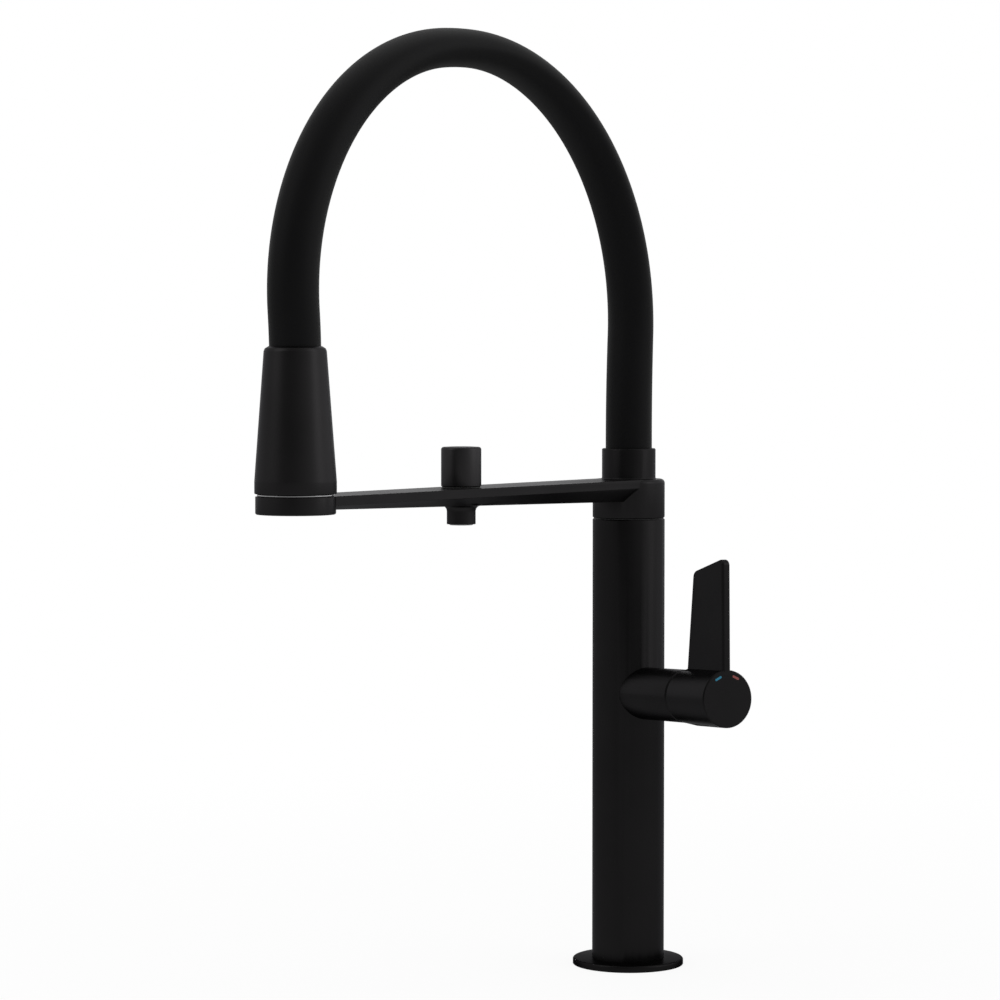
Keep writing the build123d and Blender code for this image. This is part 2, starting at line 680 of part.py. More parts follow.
def docking_arm():
    beam = loft([
        section(ARM_HUB_HALF, KEEL_HUB_HALF, ARM_TOP - SMALL, ARM_HUB_DEPTH, 0),
        section(ARM_RING_HALF, KEEL_RING_HALF, DOCK_TOP, ARM_RING_DEPTH, REACH),
    ], ruled=True)
    hub = rod(HUB_R, HUB_BOTTOM, ARM_TOP)
    hub = fillet(hub.edges().sort_by(Axis.Z)[-1], HUB_ROUND)
    hub = chamfer(hub.edges().sort_by(Axis.Z)[0], HUB_EDGE)
    ring = Pos(REACH, 0, 0) * chamfered_rod(DOCK_R, DOCK_TOP - DOCK_HEIGHT, DOCK_TOP, SMALL, HUB_EDGE)
    arm = hub + beam + ring + outlet_boss()
    groove_foot = JOURNAL_R - GROOVE_DEPTH
    arm -= rod(JOURNAL_R + RUNNING, HUB_BOTTOM, ARM_TOP - HUB_CEILING)
    arm -= rod(NIPPLE_THREAD_R + THREAD_GAP, ARM_TOP - HUB_CEILING, ARM_TOP)
    arm -= Pos(REACH, 0, 0) * rod(DOCK_BORE_R, DOCK_TOP - DOCK_HEIGHT + DOCK_LIP, ARM_TOP)
    arm -= Pos(REACH, 0, 0) * rod(BUSH_BORE_R, DOCK_TOP - DOCK_HEIGHT, ARM_TOP)
    arm -= Pos(KNOB_AT, 0, 0) * rod(VALVE_FLANGE_R + SEATED, KNOB_SEAT, ARM_TOP)
    arm -= Pos(KNOB_AT, 0, 0) * rod(VALVE_BORE_R, VALVE_SEAT, ARM_TOP)
    arm -= Pos(KNOB_AT, 0, 0) * rod(AERATOR_R, OUTLET_BOTTOM, ARM_TOP - AERATOR_SEAT)
    arm -= Pos(KNOB_AT - VALVE_PORT_AT, 0, 0) * rod(VALVE_PORT_R, ARM_TOP - AERATOR_SEAT, VALVE_SEAT)
    arm -= Pos(0, 0, FILTER_GROOVE_Z) * Rot(0, 90, 0) * rod(CHANNEL_R, groove_foot, KNOB_AT - VALVE_DISC_R)
    arm -= Pos(0, 0, COLUMN_TOP + STOP_GROOVE_AT) * Rot(0, -90, 0) * rod(SWIVEL_GRUB_R + SEATED, groove_foot, HUB_R)
    return ARM * arm


def docking_bush():
    bush = tube(BUSH_R, BUSH_BORE_R, DOCK_TOP - DOCK_HEIGHT + DOCK_LIP, DOCK_TOP - SOFT_GAP)
    return ARM * Pos(REACH, 0, 0) * bush


# Filtered water valve and knob

def at_knob(shape):
    return ARM * Pos(KNOB_AT, 0, 0) * shape


def valve_port(low, high):
    return Pos(-VALVE_PORT_AT, 0, 0) * rod(VALVE_PORT_R, low, high)


def valve_disc_fixed():
    top = VALVE_SEAT + VALVE_DISC_THICKNESS
    return at_knob(rod(VALVE_DISC_R, VALVE_SEAT, top) - valve_port(VALVE_SEAT, top))


def valve_disc_turning():
    low = VALVE_SEAT + VALVE_DISC_THICKNESS
    top = low + VALVE_DISC_THICKNESS
    closed = Rot(0, 0, 90) * valve_port(low, top)
    return at_knob(rod(VALVE_DISC_R - RUNNING, low, top) - closed)


def valve_body():
    """Headwork with a side window for the channel and a bore for the stem."""
    chamber_top = VALVE_SEAT + 2 * VALVE_DISC_THICKNESS + VALVE_CHAMBER
    outer = VALVE_BORE_R - THREAD_GAP
    body = rod(outer, VALVE_SEAT, KNOB_SEAT)
    body += rod(VALVE_FLANGE_R, KNOB_SEAT, KNOB_SEAT + VALVE_FLANGE_THICKNESS)
    body -= rod(VALVE_DISC_R + SEATED, VALVE_SEAT, chamber_top)
    body -= rod(VALVE_STEM_R + RUNNING, chamber_top, KNOB_SEAT + VALVE_FLANGE_THICKNESS)
    window = Pos(0, 0, FILTER_GROOVE_Z) * Rot(0, -90, 0) * rod(CHANNEL_R, VALVE_DISC_R - SOFT_GAP, VALVE_BORE_R)
    return at_knob(body - window)


def valve_stem():
    low = VALVE_SEAT + 2 * VALVE_DISC_THICKNESS
    flange_top = low + VALVE_CHAMBER - RUNNING
    stem = rod(VALVE_DISC_R - SOFT_GAP, low, flange_top) + rod(
        VALVE_STEM_R, flange_top, KNOB_BOTTOM + VALVE_STEM_RISE)
    return at_knob(stem - Rot(0, 0, 90) * valve_port(low, flange_top))


def knob_grub_rod(radius, outer):
    """Square to the arm, on the side away from the lever."""
    return Pos(0, 0, KNOB_BOTTOM + KNOB_GRUB_UP) * Rot(90, 0, 0) * rod(radius, VALVE_STEM_R, outer)


def filter_knob():
    body = chamfered_rod(KNOB_R, KNOB_BOTTOM, KNOB_BOTTOM + KNOB_HEIGHT, KNOB_EDGE, KNOB_FOOT_EDGE)
    body -= rod(KNOB_CAVITY_R, KNOB_BOTTOM, KNOB_BOTTOM + KNOB_CAVITY_DEPTH)
    body -= rod(VALVE_STEM_R + SEATED, KNOB_BOTTOM, KNOB_BOTTOM + VALVE_STEM_RISE)
    return at_knob(body - knob_grub_rod(KNOB_GRUB_R + SEATED, KNOB_R))


def knob_grub_screw():
    return at_knob(knob_grub_rod(KNOB_GRUB_R, KNOB_R - SOFT_GAP))


def aerator_holes(low, high):
    holes = rod(AERATOR_HOLE_R, low, high)
    hole = rod(AERATOR_HOLE_R, low, high)
    for ring in range(1, AERATOR_HOLE_RINGS):
        for step in range(6 * ring):
            holes += Rot(0, 0, 60 * step / ring) * Pos(ring * AERATOR_RING_PITCH, 0, 0) * hole
    return holes


def filter_aerator():
    low = OUTLET_BOTTOM - AERATOR_PROUD
    top = ARM_TOP - AERATOR_SEAT
    body = chamfered_rod(AERATOR_R - THREAD_GAP, low, top, SMALL, AERATOR_PROUD)
    body -= rod(AERATOR_R - AERATOR_WALL, low + AERATOR_WALL, top)
    return at_knob(body - aerator_holes(low, low + AERATOR_WALL))


# Ferrule, nipple and hose

def hose_ferrule():
    sleeve = turned([
        (NIPPLE_THREAD_R + NIPPLE_COLLAR, ARM_TOP),
        (FERRULE_R + FERRULE_FOOT_R, ARM_TOP),
        (FERRULE_R, ARM_TOP + FERRULE_FOOT_R),
        (FERRULE_R, ARM_TOP + FERRULE_HEIGHT - FERRULE_EDGE),
        (FERRULE_R - FERRULE_EDGE, ARM_TOP + FERRULE_HEIGHT),
        (HOSE_R + SEATED, ARM_TOP + FERRULE_HEIGHT),
        (HOSE_R + SEATED, ARM_TOP + HOSE_START),
        (NIPPLE_THREAD_R + NIPPLE_COLLAR, ARM_TOP + HOSE_START),
    ])
    return ARM * sleeve


def hose_nipple():
    collar_top = ARM_TOP + NIPPLE_COLLAR
    body = rod(NIPPLE_THREAD_R, ARM_TOP - HUB_CEILING, ARM_TOP)
    body += rod(NIPPLE_THREAD_R + NIPPLE_COLLAR - SEATED, ARM_TOP, collar_top)
    body += rod(WATER_HOSE_R - WATER_HOSE_WALL - BARB_GAP, collar_top, collar_top + BARB_LENGTH)
    body += rod(SPIGOT_BORE_R - RUNNING, ARM_TOP - NIPPLE_TAIL, ARM_TOP - HUB_CEILING)
    body -= nipple_groove(0)
    return ARM * (body - rod(NIPPLE_BORE_R, ARM_TOP - NIPPLE_TAIL, collar_top + BARB_LENGTH))


def nipple_groove(gap):
    middle = ARM_TOP - NIPPLE_RING_AT
    half = RING_GROOVE_WIDTH / 2 - gap
    inner = SPIGOT_BORE_R - GROOVE_DEPTH / 2 + gap
    return tube(SPIGOT_BORE_R - RUNNING, inner, middle - half, middle + half)


def nipple_ring():
    return ARM * nipple_groove(SEATED)


def arc_step(heading, turn):
    """Where an arc of unit radius ends. Headings are from +Z towards the head."""
    sign = math.copysign(1, turn)
    end = heading + turn
    return (sign * (math.cos(heading) - math.cos(end)), sign * (math.sin(end) - math.sin(heading)))


def leg(run, rise, lean, lean_r, split):
    """Arcs from an upright start to a level end: a lean outwards, then two bends that reach the end."""
    lean, split = math.radians(lean), math.radians(split)
    first = arc_step(0, -lean)
    bend_a = arc_step(-lean, lean + split)
    bend_b = arc_step(split, math.pi / 2 - split)
    run_left = run - lean_r * first[0]
    rise_left = rise - lean_r * first[1]
    scale = bend_a[0] * bend_b[1] - bend_a[1] * bend_b[0]
    radius_a = (run_left * bend_b[1] - rise_left * bend_b[0]) / scale
    radius_b = (bend_a[0] * rise_left - bend_a[1] * run_left) / scale
    return [(0, -lean, lean_r), (-lean, lean + split, radius_a), (split, math.pi / 2 - split, radius_b)]


def leg_points(arcs):
    """Start, middle and end of each arc, from the start of the leg."""
    at = (0.0, 0.0)
    runs = []
    for heading, turn, radius in arcs:
        middle = arc_step(heading, turn / 2)
        end = arc_step(heading, turn)
        runs.append([
            at,
            (at[0] + radius * middle[0], at[1] + radius * middle[1]),
            (at[0] + radius * end[0], at[1] + radius * end[1]),
        ])
        at = runs[-1][2]
    return runs


def hose_path():
    top_run = REACH / 2 + HOSE_TOP_SHIFT
    top_z = ARM_TOP + HOSE_RISE
    foot_z = ARM_TOP + HOSE_STRAIGHT
    column_arcs = leg(top_run, top_z - foot_z, HOSE_LEAN, HOSE_LEAN_R, HOSE_SPLIT)
    head_arcs = leg(REACH - top_run, top_z - HOSE_END, HEAD_LEAN, HEAD_LEAN_R, HEAD_SPLIT)
    pieces = [Line((0, 0, ARM_TOP + HOSE_START), (0, 0, foot_z))]
    for run in leg_points(column_arcs):
        pieces.append(ThreePointArc(*[(s, 0, foot_z + z) for s, z in run]))
    for run in reversed(leg_points(head_arcs)):
        pieces.append(ThreePointArc(*[(REACH - s, 0, HOSE_END + z) for s, z in reversed(run)]))
    pieces.append(Line((REACH, 0, HOSE_END), (REACH, 0, HOSE_END - SWIVEL_NUT_LENGTH / 4)))
    for name, arcs in (("column", column_arcs), ("head", head_arcs)):
        print(name, "leg radii", [round(radius, 1) for _, _, radius in arcs])
    return Wire(pieces)


def along_hose(outer, wall):
    """A round hose wall along the arch, with its volume held against section times length."""
    path = hose_path()
    start = Plane(origin=(0, 0, ARM_TOP + HOSE_START), z_dir=(0, 0, 1))
    ring = start * (Circle(outer) - Circle(outer - wall))
    hose = sweep(ring, path=path)
    print("hose", round(hose.volume), "section by length", round(ring.area * path.length))
    return ARM * hose


def flattened(radius, path, share):
    """Outline of the hose at a share of its length, pressed in within the plane of the arch."""
    reach = HOSE_FLAT_BEFORE if share < HOSE_FLAT_AT else HOSE_FLAT_AFTER
    off = min(1.0, abs(share - HOSE_FLAT_AT) / reach)
    press = (1 - off ** 2) ** 2
    along = share * path.length
    plane = Plane(
        origin=path.position_at(along, PositionMode.LENGTH), x_dir=(0, 1, 0),
        z_dir=path.tangent_at(along, PositionMode.LENGTH))
    oval = Ellipse(radius + HOSE_SWELL * press, radius - HOSE_FLAT * press)
    return (plane * oval).wire()


def hose_sleeve():
    path = hose_path()
    shares = [step / HOSE_SECTIONS for step in range(HOSE_SECTIONS + 1)]
    outside = Solid.make_loft([flattened(HOSE_R, path, share) for share in shares])
    inside = Solid.make_loft([flattened(HOSE_R - HOSE_WALL, path, share) for share in shares])
    sleeve = outside - inside
    print("sleeve", round(sleeve.volume), "height", round(sleeve.bounding_box().max.Z, 2))
    return ARM * sleeve


def support_conduit():
    return along_hose(CONDUIT_R, CONDUIT_WALL)


def water_hose():
    return along_hose(WATER_HOSE_R, WATER_HOSE_WALL)


# Spray head

def at_head(shape):
    return ARM * Pos(REACH, 0, 0) * shape


def spray_head_shell():
    foot = HEAD_BOTTOM
    shoulder = HEAD_TAPER_TOP + HEAD_SHOULDER_RISE
    outside = [
        (HEAD_FOOT_R - HEAD_FOOT_EDGE, foot),
        (HEAD_FOOT_R - HEAD_FOOT_EDGE / 4, foot + HEAD_FOOT_EDGE / 2),
        (HEAD_FOOT_R, foot + HEAD_FOOT_EDGE * 1.5),
        (HEAD_FOOT_R, foot + HEAD_STRAIGHT),
        (HEAD_TAPER_TOP_R, HEAD_TAPER_TOP),
        (HEAD_SHOULDER_R, shoulder),
        (HEAD_MOUTH_R, HEAD_TOP),
    ]
    inside = [
        (HEAD_MOUTH_R - SOFT_GAP / 3, HEAD_TOP),
        (HEAD_MOUTH_R - SOFT_GAP / 3, HEAD_TAPER_TOP),
        (HEAD_TAPER_TOP_R - HEAD_WALL, HEAD_TAPER_TOP),
        (HEAD_FOOT_R - HEAD_WALL, foot + HEAD_STRAIGHT),
        (HEAD_FOOT_R - HEAD_WALL, foot),
    ]
    return at_head(turned(outside + inside))


def head_trim_ring():
    return at_head(tube(TRIM_R, FACE_R, TRIM_BOTTOM, TRIM_BOTTOM + TRIM_THICKNESS))


def spray_face():
    """A cup that stands in the docking ring and closes the head from below."""
    rim = HEAD_FOOT_R - HEAD_WALL - SEATED
    cup = rod(FACE_R - SEATED, FACE_BOTTOM, HEAD_BOTTOM)
    cup += rod(rim, HEAD_BOTTOM, HEAD_BOTTOM + FACE_THICKNESS)
    cup -= rod(WATERWAY_R + SEATED, FACE_BOTTOM + FACE_THICKNESS, HEAD_BOTTOM + FACE_THICKNESS)
    return at_head(cup - nozzles(NOZZLE_R + SEATED, FACE_BOTTOM, FACE_BOTTOM + FACE_THICKNESS))


def nozzles(radius, low, high):
    nozzle = rod(radius, low, high)
    group = rod(radius, low, high)
    for ring in range(1, NOZZLE_RINGS + 1):
        count = NOZZLE_PER_RING * ring
        for step in range(count):
            group += Rot(0, 0, 360 * step / count) * Pos(ring * NOZZLE_PITCH, 0, 0) * nozzle
    return group


def nozzle_insert():
    """Soft nozzles on a plate behind the spray face."""
    plate_low = FACE_BOTTOM + FACE_THICKNESS
    plate = rod(WATERWAY_R, plate_low, plate_low + NOZZLE_PLATE)
    sprigs = nozzles(NOZZLE_R, FACE_BOTTOM, plate_low)
    return at_head(plate + sprigs - nozzles(NOZZLE_BORE_R, FACE_BOTTOM, plate_low + NOZZLE_PLATE))


def head_waterway():
    low = FACE_BOTTOM + FACE_THICKNESS + NOZZLE_PLATE
    top = low + WATERWAY_LENGTH
    body = rod(WATERWAY_R, low, top)
    body -= rod(WATERWAY_R - WATERWAY_WALL, low, low + WATERWAY_LENGTH / 4)
    body -= rod(CHECK_VALVE_R + SEATED, low, top - CHECK_VALVE_LENGTH)
    return at_head(body - rod(SWIVEL_NUT_R + RUNNING, top - CHECK_VALVE_LENGTH, top))


def check_valve():
    top = FACE_BOTTOM + FACE_THICKNESS + NOZZLE_PLATE + WATERWAY_LENGTH - CHECK_VALVE_LENGTH
    low = top - CHECK_VALVE_LENGTH
    return at_head(tube(CHECK_VALVE_R, NIPPLE_BORE_R, low, top) + rod(NIPPLE_BORE_R, low + PIN_R, low + 2 * PIN_R))


def swivel_nut():
    """Turns in the waterway and carries the barb of the water hose."""
    low = FACE_BOTTOM + FACE_THICKNESS + NOZZLE_PLATE + WATERWAY_LENGTH - CHECK_VALVE_LENGTH + RUNNING
    hose_foot = HOSE_END - SWIVEL_NUT_LENGTH / 4
    barb_r = WATER_HOSE_R - WATER_HOSE_WALL - BARB_GAP
    body = rod(SWIVEL_NUT_R, low, hose_foot) + rod(barb_r, hose_foot, hose_foot + BARB_LENGTH)
    return at_head(body - rod(NIPPLE_BORE_R, low, hose_foot + BARB_LENGTH))


PARTS = {
    "base_flange": base_flange,
    "base_seal": base_seal,
    "threaded_shank": threaded_shank,
    "clamp_gasket": clamp_gasket,
    "clamp_washer": clamp_washer,
    "mounting_nut": mounting_nut,
    "column_body": column_body,
    "manifold_collar": manifold_collar,
    "inlet_manifold": inlet_manifold,
    "hot_inlet_socket": hot_socket,
    "cold_inlet_socket": cold_socket,
    "filtered_inlet_socket": filtered_socket,
    "hot_riser_tube": hot_riser,
    "cold_riser_tube": cold_riser,
    "filtered_riser_tube": filtered_riser,
    "mixed_riser_tube": mixed_riser,
    "mixer_block": mixer_block,
    "cartridge_seal": cartridge_seal,
    "cartridge_body": cartridge_body,
    "cartridge_retaining_nut": cartridge_nut,
    "mixing_disc_fixed": mixing_disc_fixed,
    "mixing_disc_moving": mixing_disc_moving,
    "disc_carrier": disc_carrier,
    "cartridge_rotor": cartridge_rotor,
    "stem_pivot_pin": stem_pin,
    "cartridge_stem": cartridge_stem,
    "lever_handle": lever_handle,
    "handle_grub_screw": handle_grub_screw,
    "cold_mark": cold_mark,
    "hot_mark": hot_mark,
    "spout_spigot": spout_spigot,
    "spigot_seal_ring": spigot_ring,
    "swivel_slip_ring": slip_ring,
    "swivel_grub_screw": swivel_grub_screw,
    "docking_arm": docking_arm,
    "docking_bush": docking_bush,
    "valve_body": valve_body,
    "valve_disc_fixed": valve_disc_fixed,
    "valve_disc_turning": valve_disc_turning,
    "valve_stem": valve_stem,
    "filter_knob": filter_knob,
    "knob_grub_screw": knob_grub_screw,
    "filter_aerator": filter_aerator,
    "hose_ferrule": hose_ferrule,
    "hose_nipple": hose_nipple,
    "nipple_seal_ring": nipple_ring,
    "hose_sleeve": hose_sleeve,
    "support_conduit": support_conduit,
    "inner_water_hose": water_hose,
    "swivel_nut": swivel_nut,
    "spray_head_shell": spray_head_shell,
    "head_trim_ring": head_trim_ring,
    "spray_face": spray_face,
    "nozzle_insert": nozzle_insert,
    "head_waterway": head_waterway,
    "check_valve": check_valve,
}

os.makedirs("parts", exist_ok=True)
for node, make in PARTS.items():
    export_step(make(), f"parts/{node}.step")
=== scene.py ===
"""A kitchen tap with a hose arch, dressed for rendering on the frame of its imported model."""
import json
import math

import bmesh
import bpy
from bpy.props import FloatProperty, FloatVectorProperty, IntProperty, PointerProperty
from mathutils import Matrix, Vector


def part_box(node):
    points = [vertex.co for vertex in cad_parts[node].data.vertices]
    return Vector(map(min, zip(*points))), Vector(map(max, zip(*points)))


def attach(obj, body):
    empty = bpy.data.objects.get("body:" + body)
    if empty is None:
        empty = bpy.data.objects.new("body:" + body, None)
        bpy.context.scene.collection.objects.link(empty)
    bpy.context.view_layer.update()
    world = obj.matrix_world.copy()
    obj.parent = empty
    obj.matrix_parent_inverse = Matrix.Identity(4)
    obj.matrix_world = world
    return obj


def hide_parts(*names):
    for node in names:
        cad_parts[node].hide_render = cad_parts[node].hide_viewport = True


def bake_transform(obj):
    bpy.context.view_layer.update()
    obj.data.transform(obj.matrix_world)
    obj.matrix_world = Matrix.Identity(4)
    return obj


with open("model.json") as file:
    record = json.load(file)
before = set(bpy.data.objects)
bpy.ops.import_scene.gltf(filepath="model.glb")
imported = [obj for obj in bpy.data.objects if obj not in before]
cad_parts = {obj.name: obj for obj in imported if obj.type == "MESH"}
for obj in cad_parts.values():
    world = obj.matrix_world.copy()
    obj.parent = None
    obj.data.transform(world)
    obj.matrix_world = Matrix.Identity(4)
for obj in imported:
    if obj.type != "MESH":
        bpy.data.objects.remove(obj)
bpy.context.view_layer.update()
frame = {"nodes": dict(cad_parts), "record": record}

bl_info = {
    "name": "Kitchen Tap Dressing",
    "version": (1, 0, 0),
    "blender": (4, 5, 0),
    "location": "View3D > Sidebar > Tap",
    "description": "Builds the visible pieces, finishes and studio of a kitchen tap with a hose arch",
    "category": "Object",
}

MM = 0.001
MERGE = 1e-7

# Where the frame has the pieces that the dressed ones are fitted to.
RING_LOW, RING_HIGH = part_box("docking_bush")
RING = (RING_LOW + RING_HIGH) / 2
KNOB_LOW, KNOB_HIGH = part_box("filter_knob")
KNOB = (KNOB_LOW + KNOB_HIGH) / 2
SHELL_LOW, SHELL_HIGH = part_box("spray_head_shell")
TRIM_LOW, TRIM_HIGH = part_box("head_trim_ring")
VALVE_LOW, VALVE_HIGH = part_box("valve_body")
FACE_LOW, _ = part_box("spray_face")
FERRULE_LOW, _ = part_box("hose_ferrule")
_, FLANGE_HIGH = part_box("base_flange")
REACH = math.hypot(RING.x, RING.y)
ARM_TURN = Matrix.Rotation(math.atan2(RING.y, RING.x), 4, "Z")

# Widths of the rounded edges, and the angles from which an edge is rounded, shaded sharp or kept at all.
COLUMN_EDGE = 0.45 * MM
FERRULE_EDGE = 0.25 * MM
ARM_EDGE = 0.3 * MM
LEVER_EDGE = 0.6 * MM
ROUNDED_FROM = math.radians(30)
SHARP_FROM = math.radians(24)
KEPT_FROM = math.radians(0.6)

# Sockets of a Mix node that mixes colours: both colours, and the result.
MIX_FIRST, MIX_SECOND, MIX_RESULT = 6, 7, 2

SENSOR_WIDTH = 36
AIM = Vector((0, 0, 0.25))

# Each softbox: name, power setting, width and height, degrees round from the camera, elevation and distance.
SOFTBOXES = (
    ("key", "key_power", (0.9, 1.4), -62, 32, 1.7),
    ("fill", "fill_power", (0.8, 1.4), 70, 25, 1.8),
    ("overhead", "top_power", (1.4, 1.4), 180, 78, 1.6),
)


def length(name, value, text):
    return FloatProperty(name=name, description=text, default=value, unit="LENGTH", precision=5)


def angle(name, degrees, text):
    return FloatProperty(name=name, description=text, default=math.radians(degrees), subtype="ANGLE")


def colour(name, value, text):
    return FloatVectorProperty(
        name=name, description=text, default=value, subtype="COLOR", size=3, min=0, max=1)


def share(name, value, text):
    return FloatProperty(name=name, description=text, default=value, subtype="FACTOR", min=0, max=1)


def factor(name, value, text):
    return FloatProperty(name=name, description=text, default=value, min=0)


def watts(name, value, text):
    return FloatProperty(name=name, description=text, default=value, min=0, unit="POWER")


class TapSizes(bpy.types.PropertyGroup):
    """Sizes that the dressed pieces add to the frame's own."""
    hose_radius: length("Hose radius", 0.0125, "Outer radius of the hose where it is round")
    hose_flat: length("Hose flattening", 0.0034, "How far each side is pressed in where the hose is flattest")
    hose_swell: length("Hose swell", 0.001, "How much wider it is there, out of the plane of the arch")
    hose_flat_at: share("Flattest at", 0.39, "Share of the hose's length where it is flattest")
    hose_flat_before: share("Flattens over", 0.37, "Share of the length over which the hose flattens")
    hose_flat_after: share("Rounds over", 0.56, "Share of the length over which it is round again")
    conduit_radius: length("Conduit radius", 0.0069, "Outer radius of the support conduit in the hose")
    water_hose_radius: length("Water hose radius", 0.0053, "Outer radius of the water hose in the conduit")
    hose_rise: length("Hose rise", 0.22205, "Centreline of the arch over the hub")
    hose_lean: angle("Hose lean", 2.7, "How far the leg over the column leans away from the head")
    hose_lean_radius: length("Hose lean radius", 1.2, "Radius of the leaning stretch over the column")
    hose_split: angle("Hose split", 74.0, "Heading where the bend over the column changes radius")
    head_lean: angle("Head leg lean", 4.7, "How far the leg over the head leans away from the column")
    head_lean_radius: length("Head leg lean radius", 0.3, "Radius of the leaning stretch over the head")
    head_split: angle("Head leg split", 84.5, "Heading where the bend over the head changes radius")
    hose_straight: length("Hose straight", 0.0211, "Height over the hub where the hose starts to lean")
    hose_start: length("Hose start", 0.005, "Height over the hub where the hose starts inside the ferrule")
    hose_top_shift: length("Arch shift", 0.0027, "Highest point of the arch, from mid-reach towards the head")
    hose_in_head: length("Hose in head", 0.008, "From the top of the head down to where the hose is upright")
    hose_foot: length("Hose foot", 0.003, "Upright end of the hose in the head")
    nozzle_pitch: length("Nozzle pitch", 0.0032, "Distance between the rings of nozzles")
    nozzle_radius: length("Nozzle radius", 0.0009, "Radius of one soft nozzle at the spray face")
    nozzle_bore: length("Nozzle bore", 0.0004, "Radius of the hole in a nozzle")
    nozzle_proud: length("Nozzle tip", 0.0005, "How far the nozzles stand out of the spray face")
    nozzle_rings: IntProperty(
        name="Nozzle rings", description="Rings of nozzles round the middle one", default=3, min=0)
    lever_height: length("Lever height", 0.148, "Height of the lever's axis on the column's axis")
    lever_tilt: angle("Lever tilt", 3.0, "How far the lever's axis rises outwards")
    lever_foot: length("Lever foot", 0.0621, "From the column's axis to where the lever's thinner neck ends")
    lever_neck: share("Lever neck", 0.94, "Radius of the lever's neck against its solid's")
    pivot_reach: length("Lever pivot", 0.045, "From the column's axis to the pin that the lever tilts about")
    dome_radius: length("Dome radius", 0.02, "Radius about the pin of the dark dome in the lever's neck")
    dome_start: length("Dome start", 0.0561, "From the column's axis to the inner end of the dome")
    dome_bore: length("Dome bore", 0.0106, "Radius of the hole that the stem moves in")
    dome_rim: length("Dome rim", 0.01245, "Radius of the dome where it fits the stub")
    # Painted shade: the dark ring under the knob stands in for the shade in the gap there.
    knob_gap_shade_ring_inset: length(
        "Knob gap shade ring inset", 0.0005, "How far the ring under the knob stays inside the knob's side")


class TapColours(bpy.types.PropertyGroup):
    """Colours and finishes of the tap, and painted light and shade for some of its parts."""
    gunmetal: colour("Gunmetal", (0.030, 0.029, 0.030), "Tone of the satin metal")
    gunmetal_edge: colour(
        "Gunmetal edge", (0.6, 0.6, 0.61), "How much of its glance the metal keeps at its edges")
    # Painted light: the arm is given a lighter copy of the column's gunmetal.
    arm_painted_light: factor("Arm painted light", 1.35, "Painted light: how much lighter the cast arm's gunmetal is made than the column's")
    # Painted shade: the flange is given a darker copy of the gunmetal, with less glance at its edges.
    flange_painted_shade: factor("Flange painted shade", 0.85, "Painted shade: how much darker the base flange's gunmetal is made than the column's")
    flange_edge_painted_shade: factor(
        "Flange painted edge shade", 0.52, "Painted shade: how much of its glance the flange keeps at its edges, against the column")
    # Painted light: the spray head is given a lighter copy of the gunmetal.
    head_lift: factor("Head painted light", 1.45, "Painted light: how much lighter the spray head's gunmetal is made than the column's")
    # Painted light: the filter knob is given a lighter copy of the gunmetal.
    knob_painted_light: factor("Knob painted light", 2.3, "Painted light: how much lighter the filter knob's gunmetal is made than the column's")
    gunmetal_roughness: share("Gunmetal roughness", 0.36, "How satin the metal is")
    silicone: colour("Silicone", (0.0030, 0.0030, 0.0034), "Tone of the hose")
    silicone_roughness: share("Silicone roughness", 0.52, "How matte the hose is")
    cold: colour("Cold mark", (0.012, 0.15, 0.24), "Enamel of the cold mark")
    hot: colour("Hot mark", (0.22, 0.055, 0.05), "Enamel of the hot mark")


class StageSettings(bpy.types.PropertyGroup):
    """Where the camera stands, and how bright the studio is."""
    camera_azimuth: angle(
        "Camera azimuth", 61.134, "Direction that the camera stands in, round from the front")
    camera_distance: length("Camera distance", 1.80452, "From the camera to the plane of the column axis")
    camera_aside: length("Camera aside", 0.06965, "How far the camera stands to the left of the column")
    camera_height: length("Camera height", 0.33214, "Height of the lens over the worktop")
    camera_dip: angle("Camera dip", 2.532, "How far the camera looks down")
    camera_lens: FloatProperty(
        name="Lens", description="Focal length on a 36 mm sensor", default=120.14, unit="CAMERA")
    world_strength: share("World strength", 0.9, "Soft light from all round")
    mirror_front: share("Mirrored front", 0.13, "How bright the studio behind the camera looks in the metal")
    mirror_rise: share("Mirrored rise", 0.36, "How much brighter the sides of the studio look")
    mirror_right: share("Mirrored right", 0.15, "How much brighter its right side looks than its left")
    mirror_ceiling: share(
        "Mirrored ceiling", 0.45, "How much dimmer the ceiling looks in the metal than the walls")
    mirror_floor: share("Mirrored floor", 0.27, "How bright the floor looks in the metal")
    key_power: watts("Key power", 2.0, "Power of the main softbox")
    fill_power: watts("Fill power", 2.0, "Power of the softbox on the right")
    top_power: watts("Top power", 2.0, "Power of the softbox overhead")
    floor_shadow: share("Floor shadow", 0.12, "How much of the object's shadow shows beside it")
    shadow_full: length("Full shadow", 0.1, "Distance from the middle up to which the shadow is full")
    shadow_gone: length("Shadow gone", 1.0, "Distance from the middle where the floor is plain white")
    floor_reach: length("Floor reach", 8.0, "Half the width of the floor")


class Wire:
    """A shader socket that takes part in Python expressions."""

    def __init__(self, tree, socket):
        self.tree = tree
        self.socket = socket

    def maths(self, operation, *others, clamp=False):
        node = self.tree.nodes.new("ShaderNodeMath")
        node.operation = operation
        node.use_clamp = clamp
        for slot, value in zip(node.inputs, (self, *others)):
            put(self.tree, slot, value)
        return Wire(self.tree, node.outputs[0])

    def __add__(self, other):
        return self.maths("ADD", other)

    def __mul__(self, other):
        return self.maths("MULTIPLY", other)

    def __sub__(self, other):
        return self.maths("SUBTRACT", other)

    def __rsub__(self, other):
        return (self * -1) + other

    def __truediv__(self, other):
        return self.maths("DIVIDE", other)

    def __pow__(self, other):
        return self.maths("POWER", other)

    __radd__ = __add__
    __rmul__ = __mul__


